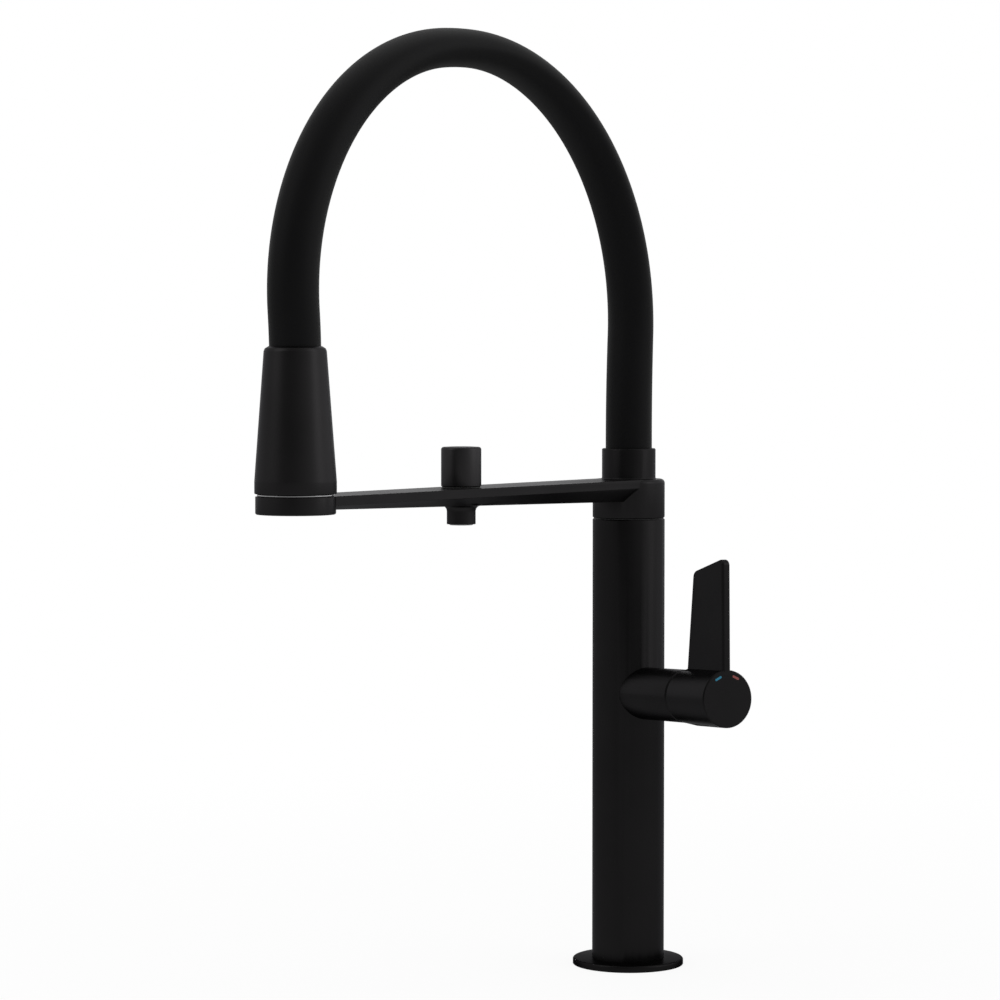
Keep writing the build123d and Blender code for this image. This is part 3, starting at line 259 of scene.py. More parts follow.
def put(tree, socket, value):
    """Links a wire to a socket, or sets a plain value on it."""
    if isinstance(value, Wire):
        tree.links.new(value.socket, socket)
    elif isinstance(value, (tuple, list)) and socket.type == "RGBA" and len(value) == 3:
        socket.default_value = (*value, 1.0)
    else:
        socket.default_value = value


def vector_node(tree, operation, *vectors, scale=None):
    """A vector operation on wires or plain vectors."""
    node = tree.nodes.new("ShaderNodeVectorMath")
    node.operation = operation
    for slot, value in zip(node.inputs, vectors):
        put(tree, slot, value)
    if scale is not None:
        put(tree, node.inputs["Scale"], scale)
    return Wire(tree, node.outputs["Value" if operation in ("DOT_PRODUCT", "LENGTH") else "Vector"])


class Finish:
    """One material and the nodes that make it."""

    def __init__(self, name):
        self.material = bpy.data.materials.new(name)
        self.material.use_nodes = True
        self.tree = self.material.node_tree
        self.tree.nodes.clear()
        self.out = self.tree.nodes.new("ShaderNodeOutputMaterial")
        self.place = Wire(self.tree, self.node("ShaderNodeTexCoord").outputs["Object"])

    def node(self, kind, settings=None, inputs=None):
        made = self.tree.nodes.new(kind)
        for name, value in (settings or {}).items():
            setattr(made, name, value)
        for name, value in (inputs or {}).items():
            put(self.tree, made.inputs[name], value)
        return made

    def noise(self, scale, detail=3.0, roughness=0.5, stretch=(1, 1, 1)):
        """Noise over the object's own coordinates, in cycles per metre."""
        mapped = self.node("ShaderNodeMapping", inputs={"Scale": stretch, "Vector": self.place})
        made = self.node("ShaderNodeTexNoise", inputs={
            "Scale": scale, "Detail": detail, "Roughness": roughness,
            "Vector": Wire(self.tree, mapped.outputs["Vector"])})
        return Wire(self.tree, made.outputs["Fac"])

    def blend_colour(self, factor, first, second):
        made = self.node("ShaderNodeMix", {"data_type": "RGBA"})
        put(self.tree, made.inputs["Factor"], factor)
        put(self.tree, made.inputs[MIX_FIRST], first)
        put(self.tree, made.inputs[MIX_SECOND], second)
        return Wire(self.tree, made.outputs[MIX_RESULT])

    def bump(self, height, strength, distance):
        made = self.node("ShaderNodeBump", inputs={
            "Strength": strength, "Distance": distance, "Height": height})
        return Wire(self.tree, made.outputs["Normal"])

    def surface(self, **inputs):
        """Ends the material in a Principled shader. Words joined by _ name its sockets."""
        names = {name.replace("_", " ").title(): value for name, value in inputs.items()}
        names = {name.replace("Ior", "IOR"): value for name, value in names.items()}
        shader = self.node("ShaderNodeBsdfPrincipled", inputs=names)
        self.tree.links.new(shader.outputs[0], self.out.inputs["Surface"])
        return self.material


def tint(colour, factor):
    return tuple(min(1.0, part * factor) for part in colour)


def satin_gunmetal(scene, name="satin_gunmetal", lift=1.0, edge=1.0):
    """Dark coated metal with a satin face, a fine grain, faint cloudiness and slightly rubbed patches."""
    # A lift above 1 paints light into the base colour; a lift or edge below 1 paints shade.
    tones = scene.tap_colours
    base = tint(tones.gunmetal, lift)
    made = Finish(name)
    cloud = made.noise(38, 4.0, 0.55)
    grain = made.noise(2600, 2.0, 0.5)
    rub = made.noise(9, 2.0, 0.6, (1, 1, 0.35))
    shade = made.blend_colour(cloud, tint(base, 0.86), tint(base, 1.16))
    rough = tones.gunmetal_roughness + (cloud - 0.5) * 0.07 + (rub - 0.5) * 0.06 + (grain - 0.5) * 0.05
    return made.surface(
        base_color=shade, metallic=1.0, roughness=rough, normal=made.bump(grain, 0.10, 0.00004),
        specular_tint=tint(tones.gunmetal_edge, edge))


def hose_silicone(scene):
    """Smooth matte silicone with a dusty bloom and a moulded skin."""
    tones = scene.tap_colours
    base = tuple(tones.silicone)
    made = Finish("hose_silicone")
    bloom = made.noise(26, 5.0, 0.6)
    skin = made.noise(1500, 3.0, 0.6)
    shade = made.blend_colour(bloom, tint(base, 0.8), tint(base, 1.35))
    rough = tones.silicone_roughness + (bloom - 0.5) * 0.12 + (skin - 0.5) * 0.08
    return made.surface(
        base_color=shade, roughness=rough, normal=made.bump(skin, 0.18, 0.00006), specular_ior_level=0.15)


def black_rubber():
    made = Finish("black_rubber")
    dust = made.noise(60, 4.0, 0.6)
    skin = made.noise(1800, 3.0, 0.6)
    return made.surface(
        base_color=made.blend_colour(dust, (0.010, 0.010, 0.010), (0.030, 0.030, 0.029)),
        roughness=0.62 + (dust - 0.5) * 0.2, normal=made.bump(skin, 0.3, 0.00008))


def polished_trim():
    made = Finish("polished_trim")
    smear = made.noise(80, 3.0, 0.5)
    return made.surface(base_color=(0.72, 0.72, 0.73), metallic=1.0, roughness=0.07 + smear * 0.07)


def machined_brass():
    """Turned brass with fine lathe lines that run round the upright axis."""
    made = Finish("machined_brass")
    lines = made.noise(70, 2.0, 0.5, (0.2, 0.2, 60))
    stain = made.noise(45, 4.0, 0.6)
    return made.surface(
        base_color=made.blend_colour(stain, (0.52, 0.36, 0.13), (0.66, 0.49, 0.22)), metallic=1.0,
        roughness=0.24 + (stain - 0.5) * 0.14 + lines * 0.10, normal=made.bump(lines, 0.12, 0.00005))


def drawn_copper():
    made = Finish("drawn_copper")
    lines = made.noise(900, 2.0, 0.5, (1, 1, 0.01))
    stain = made.noise(50, 4.0, 0.6)
    return made.surface(
        base_color=made.blend_colour(stain, (0.50, 0.22, 0.12), (0.68, 0.36, 0.22)), metallic=1.0,
        roughness=0.28 + (stain - 0.5) * 0.12, normal=made.bump(lines, 0.1, 0.00004))


def brushed_steel():
    made = Finish("brushed_steel")
    lines = made.noise(1400, 2.0, 0.5, (1, 0.03, 1))
    return made.surface(
        base_color=made.blend_colour(lines, (0.42, 0.42, 0.43), (0.55, 0.55, 0.56)), metallic=1.0,
        roughness=0.30 + (lines - 0.5) * 0.14, normal=made.bump(lines, 0.12, 0.00004))


def glazed_ceramic():
    made = Finish("glazed_ceramic")
    speck = made.noise(700, 2.0, 0.5)
    return made.surface(
        base_color=made.blend_colour(speck, (0.78, 0.77, 0.73), (0.86, 0.85, 0.82)),
        roughness=0.12 + speck * 0.06)


def moulded_plastic(name, dark, light):
    """Fine-grained moulded plastic between two tones."""
    made = Finish(name)
    grain = made.noise(2200, 2.0, 0.5)
    drift = made.noise(70, 3.0, 0.5)
    return made.surface(
        base_color=made.blend_colour(drift, dark, light), roughness=0.44 + (grain - 0.5) * 0.12,
        normal=made.bump(grain, 0.15, 0.00004))


def enamel(name, base):
    """Glossy paint in a shallow recess."""
    made = Finish(name)
    flow = made.noise(900, 2.0, 0.5)
    return made.surface(
        base_color=made.blend_colour(flow, tint(base, 0.85), tint(base, 1.15)), roughness=0.22 + flow * 0.06,
        normal=made.bump(flow, 0.08, 0.00003))


def make_finishes(scene):
    """One finish per material slot of the record, and gunmetal copies with painted light and shade."""
    tones = scene.tap_colours
    return {
        "gunmetal": satin_gunmetal(scene),
        # Painted light: a lighter copy of the gunmetal for the arm.
        "gunmetal_arm": satin_gunmetal(scene, "satin_gunmetal_arm", tones.arm_painted_light),
        # Painted shade: a darker copy of the gunmetal for the flange, with dimmer edges.
        "gunmetal_flange": satin_gunmetal(
            scene, "satin_gunmetal_flange", tones.flange_painted_shade, tones.flange_edge_painted_shade),
        # Painted light: a lighter copy of the gunmetal for the spray head.
        "gunmetal_head": satin_gunmetal(scene, "satin_gunmetal_head", tones.head_lift),
        # Painted light: a lighter copy of the gunmetal for the filter knob.
        "gunmetal_knob": satin_gunmetal(scene, "satin_gunmetal_knob", tones.knob_painted_light),
        "silicone": hose_silicone(scene),
        "rubber": black_rubber(),
        "brass": machined_brass(),
        "copper": drawn_copper(),
        "steel": brushed_steel(),
        "polished": polished_trim(),
        "ceramic": glazed_ceramic(),
        "plastic_black": moulded_plastic("black_plastic", (0.016, 0.016, 0.017), (0.026, 0.026, 0.027)),
        "plastic_grey": moulded_plastic("grey_plastic", (0.15, 0.155, 0.16), (0.20, 0.205, 0.21)),
        "plastic_white": moulded_plastic("white_plastic", (0.66, 0.66, 0.63), (0.74, 0.74, 0.71)),
        "blue": enamel("cold_enamel", tuple(tones.cold)),
        "red": enamel("hot_enamel", tuple(tones.hot)),
    }


# Names of the materials by slot, filled in by the operator that makes the finishes.
FINISH_NAMES = {}


def finish_of(slot):
    return bpy.data.materials[FINISH_NAMES[slot]]


def new_piece(name, mesh, slot, body, *nodes, tone=""):
    """Links a finished mesh as a piece that rides a body and stands for its CAD nodes, if it has any."""
    piece = bpy.data.objects.new(name, mesh)
    bpy.context.scene.collection.objects.link(piece)
    mesh.materials.clear()
    mesh.materials.append(finish_of(slot + tone))
    if body:
        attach(piece, body)
    if nodes:
        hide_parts(*nodes)
    return piece


def soft_edges(piece, width, segments=3):
    """Rounds the sharp edges of a piece and keeps its flat faces flat."""
    bevel = piece.modifiers.new("edge", "BEVEL")
    bevel.width = width
    bevel.segments = segments
    bevel.limit_method = "ANGLE"
    bevel.angle_limit = ROUNDED_FROM
    bevel.harden_normals = True
    bevel.use_clamp_overlap = True


def rounded(points, radii, steps=6):
    """Corners of an open profile turned into arcs. A radius of 0 keeps its corner sharp."""
    path = [Vector((r, z)) for r, z in points]
    made = [path[0]]
    for before, corner, after, radius in zip(path, path[1:], path[2:], radii):
        if radius <= 0:
            made.append(corner)
            continue
        back = (before - corner).normalized()
        ahead = (after - corner).normalized()
        half = back.angle(ahead) / 2
        reach = radius / math.tan(half)
        middle = corner + (back + ahead).normalized() * (radius / math.sin(half))
        first = corner + back * reach - middle
        last = corner + ahead * reach - middle
        sweep = first.angle_signed(last)
        for step in range(steps + 1):
            turn = -sweep * step / steps
            spun = Vector((first.x * math.cos(turn) - first.y * math.sin(turn),
                           first.x * math.sin(turn) + first.y * math.cos(turn)))
            made.append(middle + spun)
    made.append(path[-1])
    return made


def lathe(name, profile, centre=(0, 0), segments=128):
    """A closed mesh turned about an upright axis from a loop of (radius, level) points.

    A loop that starts on the axis also ends there. Any other is closed from its last point to its first.
    """
    mesh = bpy.data.meshes.new(name)
    build = bmesh.new()
    rings = []
    for radius, level in profile:
        if radius < MERGE:
            rings.append([build.verts.new((centre[0], centre[1], level))] * segments)
            continue
        rings.append([build.verts.new((
            centre[0] + radius * math.cos(math.tau * step / segments),
            centre[1] + radius * math.sin(math.tau * step / segments), level)) for step in range(segments)])
    closing = rings[:1] if profile[0][0] > MERGE else []
    for low, high in zip(rings, rings[1:] + closing):
        for step in range(segments):
            after = (step + 1) % segments
            corners = [low[step], low[after], high[after], high[step]]
            unique = list(dict.fromkeys(corners))
            if len(unique) > 2:
                build.faces.new(unique)
    bmesh.ops.recalc_face_normals(build, faces=build.faces)
    build.to_mesh(mesh)
    build.free()
    smooth(mesh)
    return mesh


def smooth(mesh):
    mesh.shade_smooth()
    mesh.set_sharp_from_angle(angle=SHARP_FROM)


def from_frame(node, name):
    """A merged copy of a CAD node, with its flat faces joined up so that its edges can be rounded."""
    mesh = bpy.data.meshes.new(name)
    build = bmesh.new()
    build.from_mesh(frame["nodes"][node].data)
    bmesh.ops.remove_doubles(build, verts=build.verts, dist=MERGE)
    bmesh.ops.dissolve_limit(build, angle_limit=KEPT_FROM, verts=build.verts, edges=build.edges)
    build.to_mesh(mesh)
    build.free()
    smooth(mesh)
    return mesh


def draw_in(mesh, origin, axis, reach, share):
    """Draws the points of a turned part in towards its axis, up to a reach along it."""
    for vertex in mesh.vertices:
        along = (vertex.co - origin).dot(axis)
        if along < reach:
            foot = origin + axis * along
            vertex.co = foot + (vertex.co - foot) * share


def turned_piece(name, profile, centre, segments, slot, body, *nodes, tone=""):
    """A piece turned from a profile about an upright axis."""
    new_piece(name, lathe(name, profile, centre, segments), slot, body, *nodes, tone=tone)


def rounded_piece(name, node, slot, body, width, tone=""):
    """A CAD node's own shape as a piece with rounded edges."""
    soft_edges(new_piece(name, from_frame(node, name), slot, body, node, tone=tone), width)


def arc_step(heading, turn):
    """Where an arc of unit radius ends. Headings are from upright towards the head."""
    sign = math.copysign(1, turn)
    end = heading + turn
    return Vector((sign * (math.cos(heading) - math.cos(end)), sign * (math.sin(end) - math.sin(heading))))


def leg(run, rise, lean, lean_radius, split):
    """Arcs from an upright start to a level end: a lean outwards, then two bends that reach the end."""
    left = Vector((run, rise)) - lean_radius * arc_step(0, -lean)
    bend_a = arc_step(-lean, lean + split)
    bend_b = arc_step(split, math.pi / 2 - split)
    scale = bend_a.x * bend_b.y - bend_a.y * bend_b.x
    radius_a = (left.x * bend_b.y - left.y * bend_b.x) / scale
    radius_b = (bend_a.x * left.y - bend_a.y * left.x) / scale
    return [(0, -lean, lean_radius), (-lean, lean + split, radius_a), (split, math.pi / 2 - split, radius_b)]


def leg_points(arcs, pitch=3 * MM):
    """Points along the arcs of a leg, evenly spaced."""
    at = Vector((0, 0))
    made = [at.copy()]
    for heading, turn, radius in arcs:
        steps = max(2, round(abs(turn) * radius / pitch))
        for step in range(1, steps + 1):
            made.append(at + radius * arc_step(heading, turn * step / steps))
        at = made[-1].copy()
    return made


def hose_line(sizes):
    """The centreline of the arch, from inside the ferrule to inside the head."""
    hub = FERRULE_LOW.z
    top = hub + sizes.hose_rise
    foot = hub + sizes.hose_straight
    end = SHELL_HIGH.z - sizes.hose_in_head
    top_run = REACH / 2 + sizes.hose_top_shift
    column = leg(top_run, top - foot, sizes.hose_lean, sizes.hose_lean_radius, sizes.hose_split)
    head = leg(REACH - top_run, top - end, sizes.head_lean, sizes.head_lean_radius, sizes.head_split)
    start = hub + sizes.hose_start
    steps = 5
    flat = [Vector((0, start + (foot - start) * step / steps)) for step in range(steps)]
    flat += [Vector((p.x, foot + p.y)) for p in leg_points(column)]
    flat += [Vector((REACH - p.x, end + p.y)) for p in reversed(leg_points(head))][1:]
    flat.append(Vector((REACH, end - sizes.hose_foot)))
    return [ARM_TURN @ Vector((p.x, 0, p.y)) for p in flat]


HOSE_INPUTS = (
    ("Radius", "NodeSocketFloat"),
    ("Sides", "NodeSocketInt"),
    ("Flattening", "NodeSocketFloat"),
    ("Swell", "NodeSocketFloat"),
    ("Flattest At", "NodeSocketFloat"),
    ("Flattens Over", "NodeSocketFloat"),
    ("Rounds Over", "NodeSocketFloat"),
    ("Side", "NodeSocketVector"),
    ("Finish", "NodeSocketMaterial"),
)


def new_tree(name, inputs):
    """A geometry tree with named inputs, and the identifiers of their sockets."""
    tree = bpy.data.node_groups.new(name, "GeometryNodeTree")
    tree.interface.new_socket("Geometry", in_out="INPUT", socket_type="NodeSocketGeometry")
    made = {
        label: tree.interface.new_socket(label, in_out="INPUT", socket_type=kind) for label, kind in inputs}
    tree.interface.new_socket("Geometry", in_out="OUTPUT", socket_type="NodeSocketGeometry")
    return tree, {label: socket.identifier for label, socket in made.items()}


def end_tree(tree, shape, start):
    """Ends a geometry tree: instances made real, then the finish."""
    real = tree.nodes.new("GeometryNodeRealizeInstances")
    paint = tree.nodes.new("GeometryNodeSetMaterial")
    end = tree.nodes.new("NodeGroupOutput")
    tree.links.new(shape, real.inputs["Geometry"])
    tree.links.new(real.outputs["Geometry"], paint.inputs["Geometry"])
    tree.links.new(start.outputs["Finish"], paint.inputs["Material"])
    tree.links.new(paint.outputs["Geometry"], end.inputs["Geometry"])


def hose_tree():
    """Sweeps a ring along a line, closes its ends and presses the hose in where it bends."""
    tree, names = new_tree("hose_along_line", HOSE_INPUTS)
    nodes, links = tree.nodes, tree.links
    start = nodes.new("NodeGroupInput")
    given = {label: Wire(tree, start.outputs[label]) for label, _ in HOSE_INPUTS[:-1]}
    ring = nodes.new("GeometryNodeCurvePrimitiveCircle")
    keep = nodes.new("GeometryNodeCaptureAttribute")
    sweep = nodes.new("GeometryNodeCurveToMesh")
    place = nodes.new("GeometryNodeSetPosition")
    shade = nodes.new("GeometryNodeSetShadeSmooth")
    for kind, label, source in (
        ("FLOAT", "Share", nodes.new("GeometryNodeSplineParameter").outputs["Factor"]),
        ("VECTOR", "Centre", nodes.new("GeometryNodeInputPosition").outputs["Position"]),
        ("VECTOR", "Tangent", nodes.new("GeometryNodeInputTangent").outputs["Tangent"]),
    ):
        keep.capture_items.new(kind, label)
        links.new(source, keep.inputs[label])
    sweep.inputs["Fill Caps"].default_value = True
    links.new(start.outputs["Radius"], ring.inputs["Radius"])
    links.new(start.outputs["Sides"], ring.inputs["Resolution"])
    links.new(start.outputs["Geometry"], keep.inputs["Geometry"])
    links.new(keep.outputs["Geometry"], sweep.inputs["Curve"])
    links.new(ring.outputs["Curve"], sweep.inputs["Profile Curve"])
    length_share = Wire(tree, keep.outputs["Share"])
    from_flattest = length_share - given["Flattest At"]
    before = (from_flattest * -1) / given["Flattens Over"]
    after = from_flattest / given["Rounds Over"]
    off = before.maths("MAXIMUM", after).maths("MINIMUM", 1.0)
    press = (1 - off ** 2) ** 2
    inward = vector_node(tree, "CROSS_PRODUCT", given["Side"], Wire(tree, keep.outputs["Tangent"]))
    inward = vector_node(tree, "NORMALIZE", inward)
    here = Wire(tree, nodes.new("GeometryNodeInputPosition").outputs["Position"])
    spoke = vector_node(tree, "SUBTRACT", here, Wire(tree, keep.outputs["Centre"]))
    widen = vector_node(tree, "DOT_PRODUCT", spoke, given["Side"]) * given["Swell"] * press / given["Radius"]
    narrow = vector_node(tree, "DOT_PRODUCT", spoke, inward) * given["Flattening"] * press / given["Radius"]
    outwards = vector_node(tree, "SCALE", given["Side"], scale=widen)
    inwards = vector_node(tree, "SCALE", inward, scale=narrow)
    put(tree, place.inputs["Offset"], vector_node(tree, "SUBTRACT", outwards, inwards))
    links.new(sweep.outputs["Mesh"], place.inputs["Geometry"])
    links.new(place.outputs["Geometry"], shade.inputs["Geometry"])
    end_tree(tree, shade.outputs["Geometry"], start)
    return tree, names


NOZZLE_INPUTS = (
    ("Pitch", "NodeSocketFloat"),
    ("Centre", "NodeSocketVector"),
    ("Finish", "NodeSocketMaterial"),
)


def nozzle_tree(rings):
    """Copies a nozzle to a middle point and to rings round it, with six more in each ring."""
    tree, names = new_tree("nozzle_rings", NOZZLE_INPUTS)
    nodes, links = tree.nodes, tree.links
    start = nodes.new("NodeGroupInput")
    pitch = Wire(tree, start.outputs["Pitch"])
    spots = nodes.new("GeometryNodeJoinGeometry")
    links.new(nodes.new("GeometryNodePoints").outputs["Points"], spots.inputs["Geometry"])
    for ring in range(1, rings + 1):
        circle = nodes.new("GeometryNodeMeshCircle")
        circle.inputs["Vertices"].default_value = 6 * ring
        put(tree, circle.inputs["Radius"], pitch * ring)
        links.new(circle.outputs["Mesh"], spots.inputs["Geometry"])
    place = nodes.new("GeometryNodeSetPosition")
    copies = nodes.new("GeometryNodeInstanceOnPoints")
    links.new(spots.outputs["Geometry"], place.inputs["Geometry"])
    links.new(start.outputs["Centre"], place.inputs["Offset"])
    links.new(place.outputs["Geometry"], copies.inputs["Points"])
    links.new(start.outputs["Geometry"], copies.inputs["Instance"])
    end_tree(tree, copies.outputs["Instances"], start)
    return tree, names


def run_tree(source, tree, values):
    """Evaluates a node tree on an object and returns the result as a plain mesh."""
    modifier = source.modifiers.new("shape", "NODES")
    modifier.node_group = tree
    for identifier, value in values.items():
        modifier[identifier] = value
    graph = bpy.context.evaluated_depsgraph_get()
    graph.update()
    mesh = bpy.data.meshes.new_from_object(source.evaluated_get(graph))
    bpy.data.objects.remove(source)
    return mesh


def line_object(name, points):
    curve = bpy.data.curves.new(name, "CURVE")
    curve.dimensions = "3D"
    curve.twist_mode = "MINIMUM"
    spline = curve.splines.new("POLY")
    spline.points.add(len(points) - 1)
    for slot, point in zip(spline.points, points):
        slot.co = (*point, 1)
    made = bpy.data.objects.new(name, curve)
    bpy.context.scene.collection.objects.link(made)
    return made


class TAP_OT_finishes(bpy.types.Operator):
    """Make the finishes and give them to the CAD nodes"""
    bl_idname = "tap.finishes"
    bl_label = "Finishes"

    def execute(self, context):
        made = make_finishes(context.scene)
        for slot, material in made.items():
            FINISH_NAMES[slot] = material.name
        for entry in frame["record"]["subparts"]:
            node = frame["nodes"][entry["node"]]
            for place in node.material_slots:
                place.material = made[entry["material_slot"]]
        return {"FINISHED"}


class TAP_OT_hose(bpy.types.Operator):
    """Sweep the sleeve, the conduit and the water hose along the arch"""
    bl_idname = "tap.hose"
    bl_label = "Hose"

    def execute(self, context):
        sizes = context.scene.tap_sizes
        line = hose_line(sizes)
        tree, names = hose_tree()
        side = ARM_TURN @ Vector((0, 1, 0))
        for node, radius, pressed, slot, sides in (
            ("hose_sleeve", sizes.hose_radius, 1.0, "silicone", 96),
            ("support_conduit", sizes.conduit_radius, 0.0, "plastic_black", 48),
            ("inner_water_hose", sizes.water_hose_radius, 0.0, "plastic_grey", 48),
        ):
            values = {
                names["Radius"]: radius, names["Sides"]: sides, names["Side"]: side,
                names["Flattening"]: pressed * sizes.hose_flat, names["Swell"]: pressed * sizes.hose_swell,
                names["Flattest At"]: sizes.hose_flat_at, names["Flattens Over"]: sizes.hose_flat_before,
                names["Rounds Over"]: sizes.hose_flat_after, names["Finish"]: finish_of(slot)}
            mesh = run_tree(line_object(node + "_line", line), tree, values)
            piece = new_piece(node + "_smooth", mesh, slot, None, node)
            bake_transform(piece)
        return {"FINISHED"}


class TAP_OT_base(bpy.types.Operator):
    """Turn the base flange with its rounded rim"""
    bl_idname = "tap.base"
    bl_label = "Base"

    def execute(self, context):
        radius, top = FLANGE_HIGH.x, FLANGE_HIGH.z
        bore, foot_edge, rim_round = 15 * MM, 0.2 * MM, 1.1 * MM
        profile = rounded(
            [(bore, 0.0), (radius - foot_edge, 0.0), (radius, foot_edge), (radius, top), (bore, top)],
            [0, 0, rim_round])
        # The flange takes the darker copy of the gunmetal, with less glance at its edges: painted shade.
        turned_piece(
            "base_flange_turned", profile, (0, 0), 128, "gunmetal", "base", "base_flange", tone="_flange")
        return {"FINISHED"}


class TAP_OT_column(bpy.types.Operator):
    """Round the edges of the column, its stub and the ferrule"""
    bl_idname = "tap.column"
    bl_label = "Column"

    def execute(self, context):
        rounded_piece("column_satin", "column_body", "gunmetal", "base", COLUMN_EDGE)
        rounded_piece("ferrule_satin", "hose_ferrule", "gunmetal", "arm", FERRULE_EDGE)
        return {"FINISHED"}


class TAP_OT_arm(bpy.types.Operator):
    """Round the edges of the docking arm"""
    bl_idname = "tap.arm"
    bl_label = "Docking arm"

    def execute(self, context):
        # The arm takes the lighter copy of the gunmetal: painted light.
        rounded_piece("docking_arm_satin", "docking_arm", "gunmetal", "arm", ARM_EDGE, tone="_arm")
        return {"FINISHED"}


class TAP_OT_knob(bpy.types.Operator):
    """Turn the filter knob with its crowned top, and a dark ring under it as painted shade in the gap"""
    bl_idname = "tap.knob"
    bl_label = "Filter knob"

    def execute(self, context):
        centre = (KNOB.x, KNOB.y)
        radius = (KNOB_HIGH.x - KNOB_LOW.x) / 2
        low, high = KNOB_LOW.z, KNOB_HIGH.z
        crown, wall = 0.35 * MM, 1.8 * MM
        foot_round, rim_round, crown_round = 0.4 * MM, 1.3 * MM, 4 * MM
        inside, ceiling = radius - wall, high - 2 * wall
        outline = [
            (inside, low), (radius, low), (radius, high - crown), (0.55 * radius, high - 0.3 * crown),
            (0.0, high)]
        profile = [(0.0, ceiling), (inside, ceiling)] + rounded(outline, [foot_round, rim_round, crown_round])
        # The knob takes the lighter copy of the gunmetal: painted light.
        turned_piece(
            "filter_knob_turned", profile, centre, 96, "gunmetal", "knob", "filter_knob", tone="_knob")
        # Painted shade: a dark rubber ring fills the gap under the knob, where there is only shade.
        play, depth, gap, lip_round = 0.02 * MM, 0.75 * MM, 0.08 * MM, 0.15 * MM
        bore = (VALVE_HIGH.x - VALVE_LOW.x) / 2 + play
        outer = radius - context.scene.tap_sizes.knob_gap_shade_ring_inset
        foot, lip = low - depth, low - gap
        ring = rounded([(bore, foot), (outer, foot), (outer, lip), (bore, lip)], [0, lip_round])
        turned_piece("knob_dust_ring", ring, centre, 96, "rubber", "arm")
        return {"FINISHED"}


class TAP_OT_head(bpy.types.Operator):
    """Turn the spray head and its bright ring"""
    bl_idname = "tap.head"
    bl_label = "Spray head"

    def execute(self, context):
        centre = (RING.x, RING.y)
        low, high = SHELL_LOW.z, SHELL_HIGH.z
        foot = (SHELL_HIGH.x - SHELL_LOW.x) / 2
        taper_top, neck, mouth = 15.15 * MM, 14.6 * MM, 12.8 * MM
        inner_foot, inner_mouth = foot - 2.2 * MM, mouth - 0.1 * MM
        skirt, shoulder, collar, lip = low + 6 * MM, high - 2.4 * MM, high - 1.1 * MM, high - 1 * MM
        outline = [
            (inner_foot, low), (foot, low), (foot, skirt), (taper_top, shoulder), (neck, collar),
            (mouth, high), (inner_mouth, lip)]
        foot_round, skirt_round, shoulder_round, neck_round, mouth_round = (
            0.5 * MM, 14 * MM, 1.3 * MM, 0.7 * MM, 0.05 * MM)
        profile = rounded(outline, [foot_round, skirt_round, shoulder_round, neck_round, mouth_round])
        profile += [(inner_mouth, shoulder), (inner_foot, skirt)]
        # The head takes the lighter copy of the gunmetal: painted light.
        turned_piece(
            "spray_head_turned", profile, centre, 160, "gunmetal", "spray_head", "spray_head_shell",
            tone="_head")
        trim_width, trim_round = 3 * MM, 0.25 * MM
        outer = (TRIM_HIGH.x - TRIM_LOW.x) / 2
        bore = outer - trim_width
        trim = rounded(
            [(bore, TRIM_LOW.z), (outer, TRIM_LOW.z), (outer, TRIM_HIGH.z), (bore, TRIM_HIGH.z)],
            [trim_round, trim_round])
        turned_piece("head_trim_turned", trim, centre, 160, "polished", "spray_head", "head_trim_ring")
        return {"FINISHED"}


class TAP_OT_nozzles(bpy.types.Operator):
    """Set the rings of soft nozzle tips in the spray face"""
    bl_idname = "tap.nozzles"
    bl_label = "Nozzles"

    def execute(self, context):
        sizes = context.scene.tap_sizes
        tree, names = nozzle_tree(sizes.nozzle_rings)
        bore, foot, proud, sunk = sizes.nozzle_bore, sizes.nozzle_radius, sizes.nozzle_proud, 0.1 * MM
        outline = [
            (bore, sunk), (bore, -proud), (0.75 * foot, -proud), (0.85 * foot, -0.7 * proud),
            (foot, -0.1 * proud), (foot, sunk)]
        nozzle = bpy.data.objects.new("nozzle_line", lathe("nozzle", outline, segments=16))
        context.scene.collection.objects.link(nozzle)
        values = {
            names["Pitch"]: sizes.nozzle_pitch, names["Centre"]: Vector((RING.x, RING.y, FACE_LOW.z)),
            names["Finish"]: finish_of("silicone")}
        new_piece("nozzle_tips", run_tree(nozzle, tree, values), "silicone", "spray_head")
        return {"FINISHED"}


class TAP_OT_lever(bpy.types.Operator):
    """Draw in the neck of the lever, round its edges and set the dark dome in the neck"""
    bl_idname = "tap.lever"
    bl_label = "Lever"

    def execute(self, context):
        sizes = context.scene.tap_sizes
        origin = Vector((0, 0, sizes.lever_height))
        axis = Vector((math.cos(sizes.lever_tilt), 0, math.sin(sizes.lever_tilt)))
        mesh = from_frame("lever_handle", "lever_satin")
        draw_in(mesh, origin, axis, sizes.lever_foot, sizes.lever_neck)
        lever = new_piece("lever_satin", mesh, "gunmetal", "lever", "lever_handle")
        soft_edges(lever, LEVER_EDGE, segments=4)
        start, bore, rim, steps = sizes.dome_start, sizes.dome_bore, sizes.dome_rim, 6
        outline = [(bore, start), (rim, start)]
        for step in range(steps + 1):
            radius = rim + (bore - rim) * step / steps
            outline.append((radius, sizes.pivot_reach + math.sqrt(sizes.dome_radius ** 2 - radius ** 2)))
        dome = lathe("cartridge_dome_ring", outline)
        dome.transform(Matrix.Translation(origin) @ Matrix.Rotation(math.pi / 2 - sizes.lever_tilt, 4, "Y"))
        new_piece("cartridge_dome_ring", dome, "plastic_black", "base")
        return {"FINISHED"}


